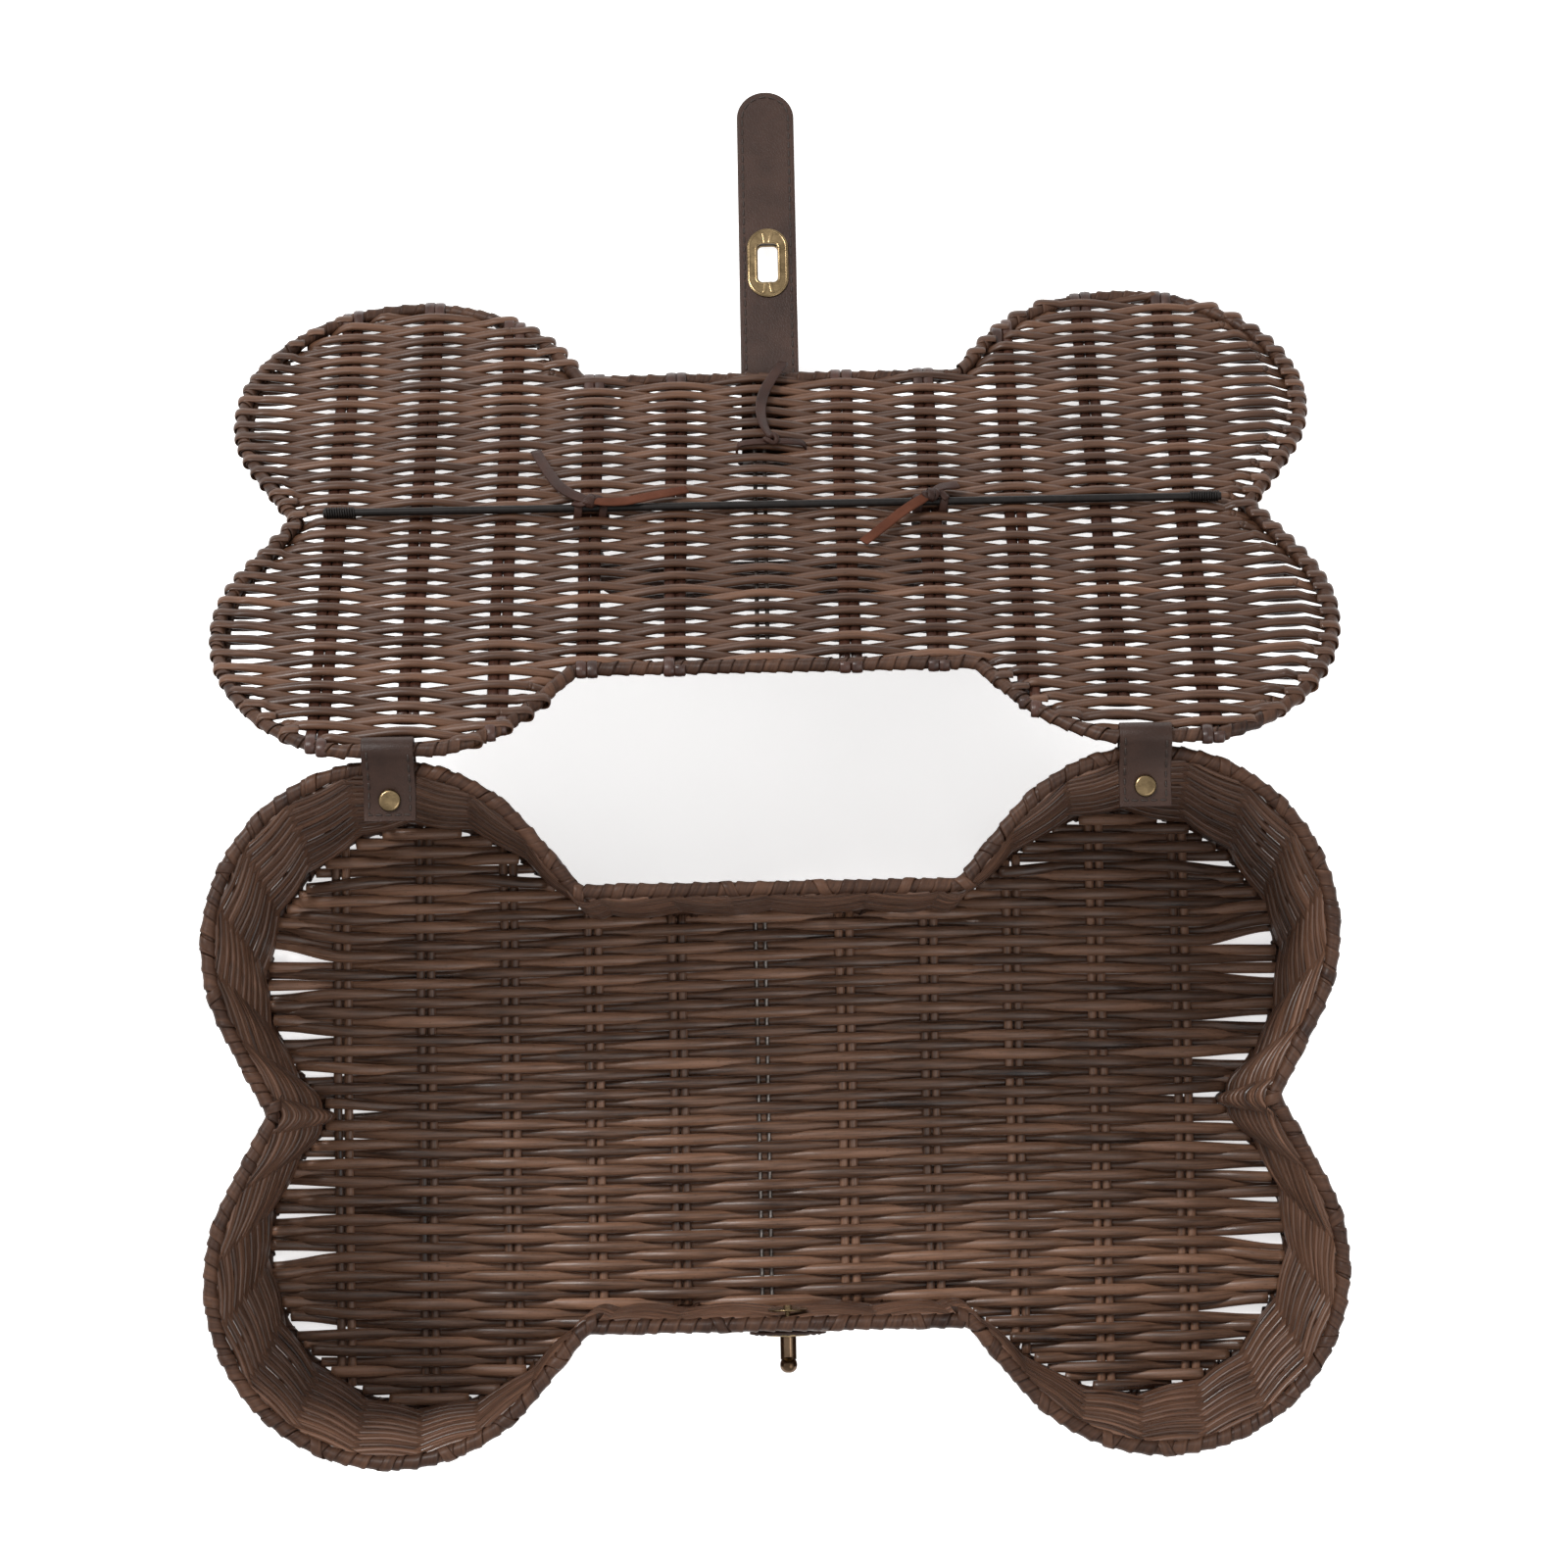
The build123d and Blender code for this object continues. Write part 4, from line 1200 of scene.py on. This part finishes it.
def strap():
    """The closure strap: two stitched layers, and its root under the lid."""
    flat = flat_strap()
    thick = flat.modifiers.new("thick", "SOLIDIFY")
    thick.thickness = STRAP_T * MM
    thick.offset = 0.0
    edge = flat.modifiers.new("edge", "BEVEL")
    edge.width = 0.55 * MM
    edge.segments = 3
    edge.limit_method = "ANGLE"
    edge.angle_limit = math.radians(50)
    thing = finished("closure_strap", flat)
    where = np.empty(len(thing.data.vertices) * 3)
    thing.data.vertices.foreach_get("co", where)
    sides = [abs(face.normal.z) < 0.6 for face in thing.data.polygons]
    placed_points, _ = strap_place(where.reshape(-1, 3) / MM)
    thing.data.vertices.foreach_set("co", (placed_points * MM).ravel())
    painted(thing, LEATHER_DARK, LEATHER_EDGE)
    for face, side in zip(thing.data.polygons, sides):
        face.material_index = int(side)
        face.use_smooth = True
    thing.data.update()
    bend_over(shown(thing))
    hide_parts("strap_leather", "strap_lining", "strap_root")


def strap_stitches():
    rows = Strands(111)
    straight = STRAP_LENGTH - STRAP_W / 2
    inset = STRAP_W / 2 - 2.4
    line = [(inset, v) for v in np.arange(-STRAP_ROOT + 4, straight, 3.0)]
    line += arc((0.0, straight), inset, np.arange(0, 181, 6))
    line += [(-inset, v) for v in np.arange(straight - 3.0, -STRAP_ROOT + 4, -3.0)]
    for way in (1, -1):

        def place(points, way=way):
            return strap_place(points * [1, 1, way] + [0, 0, way * STRAP_T / 2])

        stitches(rows, line, place)
    sewn = rows.made("closure_strap_stitches", THREAD)
    bend_over(sewn)


def prong(lips, height, up, x, end):
    """One of the eyelet's prongs, clenched flat on the back."""
    width, thick, from_middle = 1.7, 0.3, 12.8
    y = EYELET_AT + end * from_middle
    steps = ((1.0, 1.6, 0.0), (1.0, 1.2, 0.06), (0.8, 0.0, 0.1), (0.6, -2.4, 0.08), (0.6, -3.4, 0.0))
    shape = [(x * share, y + end * along, height + rise) for share, along, rise in steps]
    points, _ = strap_place(through(shape, 4))
    lips.add(points, width, thick, up, square=0.6, sides=10)


def eyelet():
    """Brass rings with raised lips on both sides of the slot, the back one held by prongs."""
    up = Vector((0, math.sin(STRAP_SLOPE), math.cos(STRAP_SLOPE)))
    for name, side, thick, flatness in (("eyelet_back", 1, 0.9, 0.3), ("eyelet_front", -1, 1.2, 0.8)):
        height = side * (STRAP_T / 2 + thick / 2)
        middle, _ = strap_place([[0, EYELET_AT, height]])
        loops = [oblong(*EYELET_SIZE), round_rectangle(8.8, 18.6, 2.2)[::-1]]
        ring = cut(f"{name}_ring", loops, thick, 0.3, plane_at(middle[0], (1, 0, 0), up))
        placed(ring, BRASS, "strap", [name])
        lips = Strands(120 + side)
        height += side * thick / 2
        for loop, size in ((oblong(16.4, 31.0), 0.9), (round_rectangle(10.4, 20.2, 2.8), 1.1)):
            points, _ = strap_place([[x, EYELET_AT + y, height] for x, y in loop])
            lips.add(points, size, size * flatness, up, closed=True, sides=8)
        if side > 0:
            for end in (-1, 1):
                prong(lips, height, up, -1.9, end)
                prong(lips, height, up, 1.9, end)
        lips.made(f"{name}_lips", BRASS, "strap", "antique_brass")


def convex(points):
    """The convex outline round points, anticlockwise."""
    points = sorted(map(tuple, points))

    def chain(run):
        made = []
        for p in run:
            while len(made) > 1:
                (ax, ay), (bx, by) = made[-2], made[-1]
                if (bx - ax) * (p[1] - ay) - (by - ay) * (p[0] - ax) > 0:
                    break
                made.pop()
            made.append(p)
        return made[:-1]

    return chain(points) + chain(points[::-1])


def hinge_loop(grow, part_y):
    """The outline round the rim's rod, the lid's border rod and the place where the strap's layers part."""
    rim_y = RIM_LINE.lobe_y + RIM_LINE.lobe_r - 0.5
    rim_room, border_room = 4.0, 3.8
    tail = max(grow, 0.05)
    around = range(0, 360, 9)
    return convex(
        arc((rim_y, RIM_Z), rim_room + grow, around)
        + arc((AXIS_Y, AXIS_Z), border_room + grow, around)
        + [(part_y, TAIL_Z - tail), (part_y, TAIL_Z + tail)]
    )


def hinge_straps():
    """Leather loops round the rim and the lid's border, sewn along their edges on both sides."""
    part_y, free_y, sewn_in, bevel = 130.0, 117.0, 2.4, 0.45
    outer = hinge_loop(LEATHER, part_y)
    inner = hinge_loop(0.0, part_y)
    top = outer.index((part_y, TAIL_Z + LEATHER))
    tail = [(free_y, TAIL_Z + LEATHER), (free_y, TAIL_Z - LEATHER)]
    outer = outer[: top + 1] + tail + outer[top + 1 :]
    upper = np.array(sorted(p for p in outer if p[1] > TAIL_Z and p[0] <= AXIS_Y + 1))
    inset = HINGE_W / 2 - 2.2
    for side, name in SIDES:
        x = side * HINGE_X
        place = plane_at((x, 0, 0), (0, 1, 0), (1, 0, 0))
        thing = cut(f"hinge_strap_{name}_leather", [outer, inner[::-1]], HINGE_W, bevel, place)
        placed(thing, LEATHER_DARK, "basket", [f"hinge_strap_{name}"])

        def on_top(points, x=x):
            """(across, along Y, height) on the strap's upper face."""
            at = points[:, 1]
            z, ahead, behind = (np.interp(at + step, upper[:, 0], upper[:, 1]) for step in (0.0, 0.5, -0.5))
            up = unit(np.column_stack([0 * at, behind - ahead, np.ones(len(at))]))
            return np.column_stack([x + points[:, 0], at, z]) + up * points[:, 2:3], up

        below = flat_face((x, 0, TAIL_Z - LEATHER), (1, 0, 0), (0, 1, 0), (0, 0, -1))
        rows = Strands(130 + side)
        for face, last_y in ((on_top, AXIS_Y), (below, part_y)):
            first_y = free_y + sewn_in
            line = [(-inset, last_y), (-inset, first_y), (inset, first_y), (inset, last_y)]
            stitches(rows, even(line, 1.5), face, length=2.6)
        rows.made(f"hinge_stitches_{name}", THREAD, "basket", "leather")


def lock():
    """Leather patch and brass plates on the front waist. The knob is the frame's own, which turns."""
    patch_size, patch_round, inset = (31.0, 44.0), 8.0, 2.3
    hub_bore, spindle_bore, back_size = 9.8, 6.8, (16.0, 31.0)
    around = range(0, -360, -15)
    patch = [round_rectangle(*patch_size, patch_round), arc((0, 0), hub_bore / 2, around)]
    plate = [oblong(*EYELET_SIZE), arc((0, 0), spindle_bore / 2, around)]
    pieces = (
        ("lock_leather_patch", "lock_patch", patch, 0.35, LEATHER_DARK, "leather"),
        ("lock_brass_plate", "lock_plate", plate, 0.35, BRASS, "antique_brass"),
        ("lock_inner_plate", "lock_back_plate", [oblong(*back_size)], 0.25, BRASS, "antique_brass"),
    )
    for name, node, loops, bevel, material, slot in pieces:
        low, high = (np.array(corner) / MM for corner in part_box(node))
        place = plane_at((low + high) / 2, (1, 0, 0), (0, -1, 0))
        piece = cut(name, loops, high[1] - low[1], bevel, place)
        placed(piece, material, "basket", [node])
    low, high = (np.array(corner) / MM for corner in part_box("lock_patch"))
    patch_face = ((low[0] + high[0]) / 2, low[1], (low[2] + high[2]) / 2)
    face = flat_face(patch_face, (1, 0, 0), (0, 0, 1), (0, -1, 0))
    rows = Strands(141)
    line = round_rectangle(patch_size[0] - 2 * inset, patch_size[1] - 2 * inset, patch_round - inset)
    stitches(rows, even(line, 1.2, closed=True), face, length=2.4, gap=1.1)
    rows.made("lock_patch_stitches", THREAD, "basket", "leather")


def handle():
    """The carry handle on the lid's outer side: two sewn layers with an eye on each leg."""
    leg, rise, drop, thick = 4.0, 38.0, 8.0, 3.7
    outer_x, inner_x, foot = HANDLE_HALF + leg, HANDLE_HALF - leg, -3.2
    outer_r, inner_r, inner_y = 22, 9, -20
    eye_r, eye_w, eye_t = 2.75, 8.0, 1.8
    inset, sewn_from = 2.2, -6.0

    def bends(x, y, radius, drawn, left, right):
        """The bends at the left and right ends of the edge at y, drawn at their own or a nearby radius."""
        return [
            arc((way * (x - radius), y + radius), drawn, np.linspace(*angles, 9))
            for way, angles in ((-1, left), (1, right))
        ]

    left, right = bends(outer_x, -rise, outer_r, outer_r, (180, 270), (270, 360))
    loop = [(-inner_x, foot), (-outer_x, foot), *left, *right, (outer_x, foot), (inner_x, foot)]
    left, right = bends(inner_x, inner_y, inner_r, inner_r, (270, 180), (0, -90))
    loop += right + left
    origin = on_lid([STAKE_OFFSET, LID_HALF, -drop])
    outward_way = on_lid_way([0, -1, 0])
    thing = cut("handle_sewn_layers", [loop], thick, 0.6, plane_at(origin, (1, 0, 0), outward_way))
    placed(thing, LEATHER_DARK, "handle", ["handle_leather", "handle_lining"])
    eyes = Strands(151)
    angles = np.arange(0, 360, 15)
    for side in (-1, 1):
        x = STAKE_OFFSET + side * HANDLE_HALF
        ring = [(x, t, m) for t, m in arc((LID_HALF, -drop), eye_r, angles)]
        face = [(0, c, s) for c, s in arc((0, 0), 1.0, angles)]
        eyes.add_on_lid(ring, eye_w, eye_t, face, closed=True, square=0.45, sides=14)
    eyes.made("handle_eyes", LEATHER_DARK, "handle", "leather")
    rows = Strands(152)
    left, right = bends(outer_x, -rise, outer_r, outer_r - inset, (180, 270), (270, 360))
    shrunk = [(inset - outer_x, sewn_from), *left, *right, (outer_x - inset, sewn_from)]
    left, right = bends(inner_x, inner_y, inner_r, inner_r + inset, (180, 270), (270, 360))
    inside = [(-inner_x - inset, sewn_from), *left, *right, (inner_x + inset, sewn_from)]
    for way in (-1, 1):

        def place(points, way=way):
            across, height, over = points.T
            local = [STAKE_OFFSET + across, LID_HALF + way * (thick / 2 + over), -drop + height]
            return on_lid(np.column_stack(local)), np.tile(on_lid_way([0, way, 0]), (len(points), 1))

        for line in (shrunk, inside):
            stitches(rows, even(line, 1.5), place, length=2.8)
    rows.made("handle_stitches", THREAD, "handle", "leather")


strap()
strap_stitches()
eyelet()
hinge_straps()
lock()
handle()

KEPT = {
    "rim_wire": STEEL,
    "lid_border_wire": STEEL,
    "base_centre_wires": STEEL,
    "lid_centre_wires": STEEL,
    "lid_cross_rod": BLACK,
    "hinge_rivet_caps": BRASS,
    "hinge_rivet_posts": BRASS,
    "lock_rivets": BRASS,
    "lock_knob": KNOB_BRASS,
}
for node, material in KEPT.items():
    thing = painted(frame["nodes"][node], material)
    smooth(thing.data, 40)


# Stage


def floor():
    reach, white = 6.0, (1.0, 1.0, 1.0, 1.0)
    finish = Finish("pale_floor", Roughness=0.9, Specular_IOR_Level=0.1)
    shade = finish.ramp(finish.noise(finish.place(), 0.01, 2.0), (0.3, 0.88), (0.7, 0.9))
    finish.shader.inputs["Emission Strength"].default_value = 0.6
    finish.shader.inputs["Emission Color"].default_value = white
    mesh = bpy.data.meshes.new("floor")
    corners = [(-reach, -reach, 0), (reach, -reach, 0), (reach, reach, 0), (-reach, reach, 0)]
    mesh.from_pydata(corners, [], [(0, 1, 2, 3)])
    mesh.materials.append(finish.paint(Base_Color=shade))
    shown(bpy.data.objects.new("floor", mesh))


def light(name, place, target, size, power):
    lamp = bpy.data.lights.new(name, "AREA")
    lamp.shape = "SQUARE"
    lamp.size = size
    lamp.energy = power
    thing = shown(bpy.data.objects.new(name, lamp))
    thing.location = place
    thing.rotation_euler = (Vector(target) - Vector(place)).to_track_quat("-Z", "Y").to_euler()


def camera():
    """Above the basket, looking almost straight down."""
    tilt, roll = 0.0791, 0.0195
    lens = bpy.data.cameras.new("camera")
    lens.lens = 100.9
    lens.sensor_width = 36.0
    lens.clip_end = 50.0
    back = Vector((0, -math.sin(tilt), math.cos(tilt)))
    up = Vector((0, math.cos(tilt), math.sin(tilt)))
    right = Vector((1, 0, 0))
    right_rolled = right * math.cos(roll) - up * math.sin(roll)
    up_rolled = right * math.sin(roll) + up * math.cos(roll)
    thing = shown(bpy.data.objects.new("camera", lens))
    thing.matrix_world = matrix_of((right_rolled, up_rolled, back), (6.7, -10.9, 1945.4))
    bpy.context.scene.camera = thing


def world():
    studio = bpy.data.worlds.new("studio")
    studio.use_nodes = True
    background = studio.node_tree.nodes["Background"].inputs
    background["Color"].default_value = (1.0, 1.0, 1.0, 1.0)
    background["Strength"].default_value = 0.9
    bpy.context.scene.world = studio
    bpy.context.scene.view_settings.view_transform = "Standard"


floor()
world()
light("key", (-1.1, 1.35, 2.0), (0, 0.1, 0), 0.7, 52.0)
light("fill", (1.3, -0.9, 2.2), (0, 0.1, 0), 1.6, 18.0)
camera()
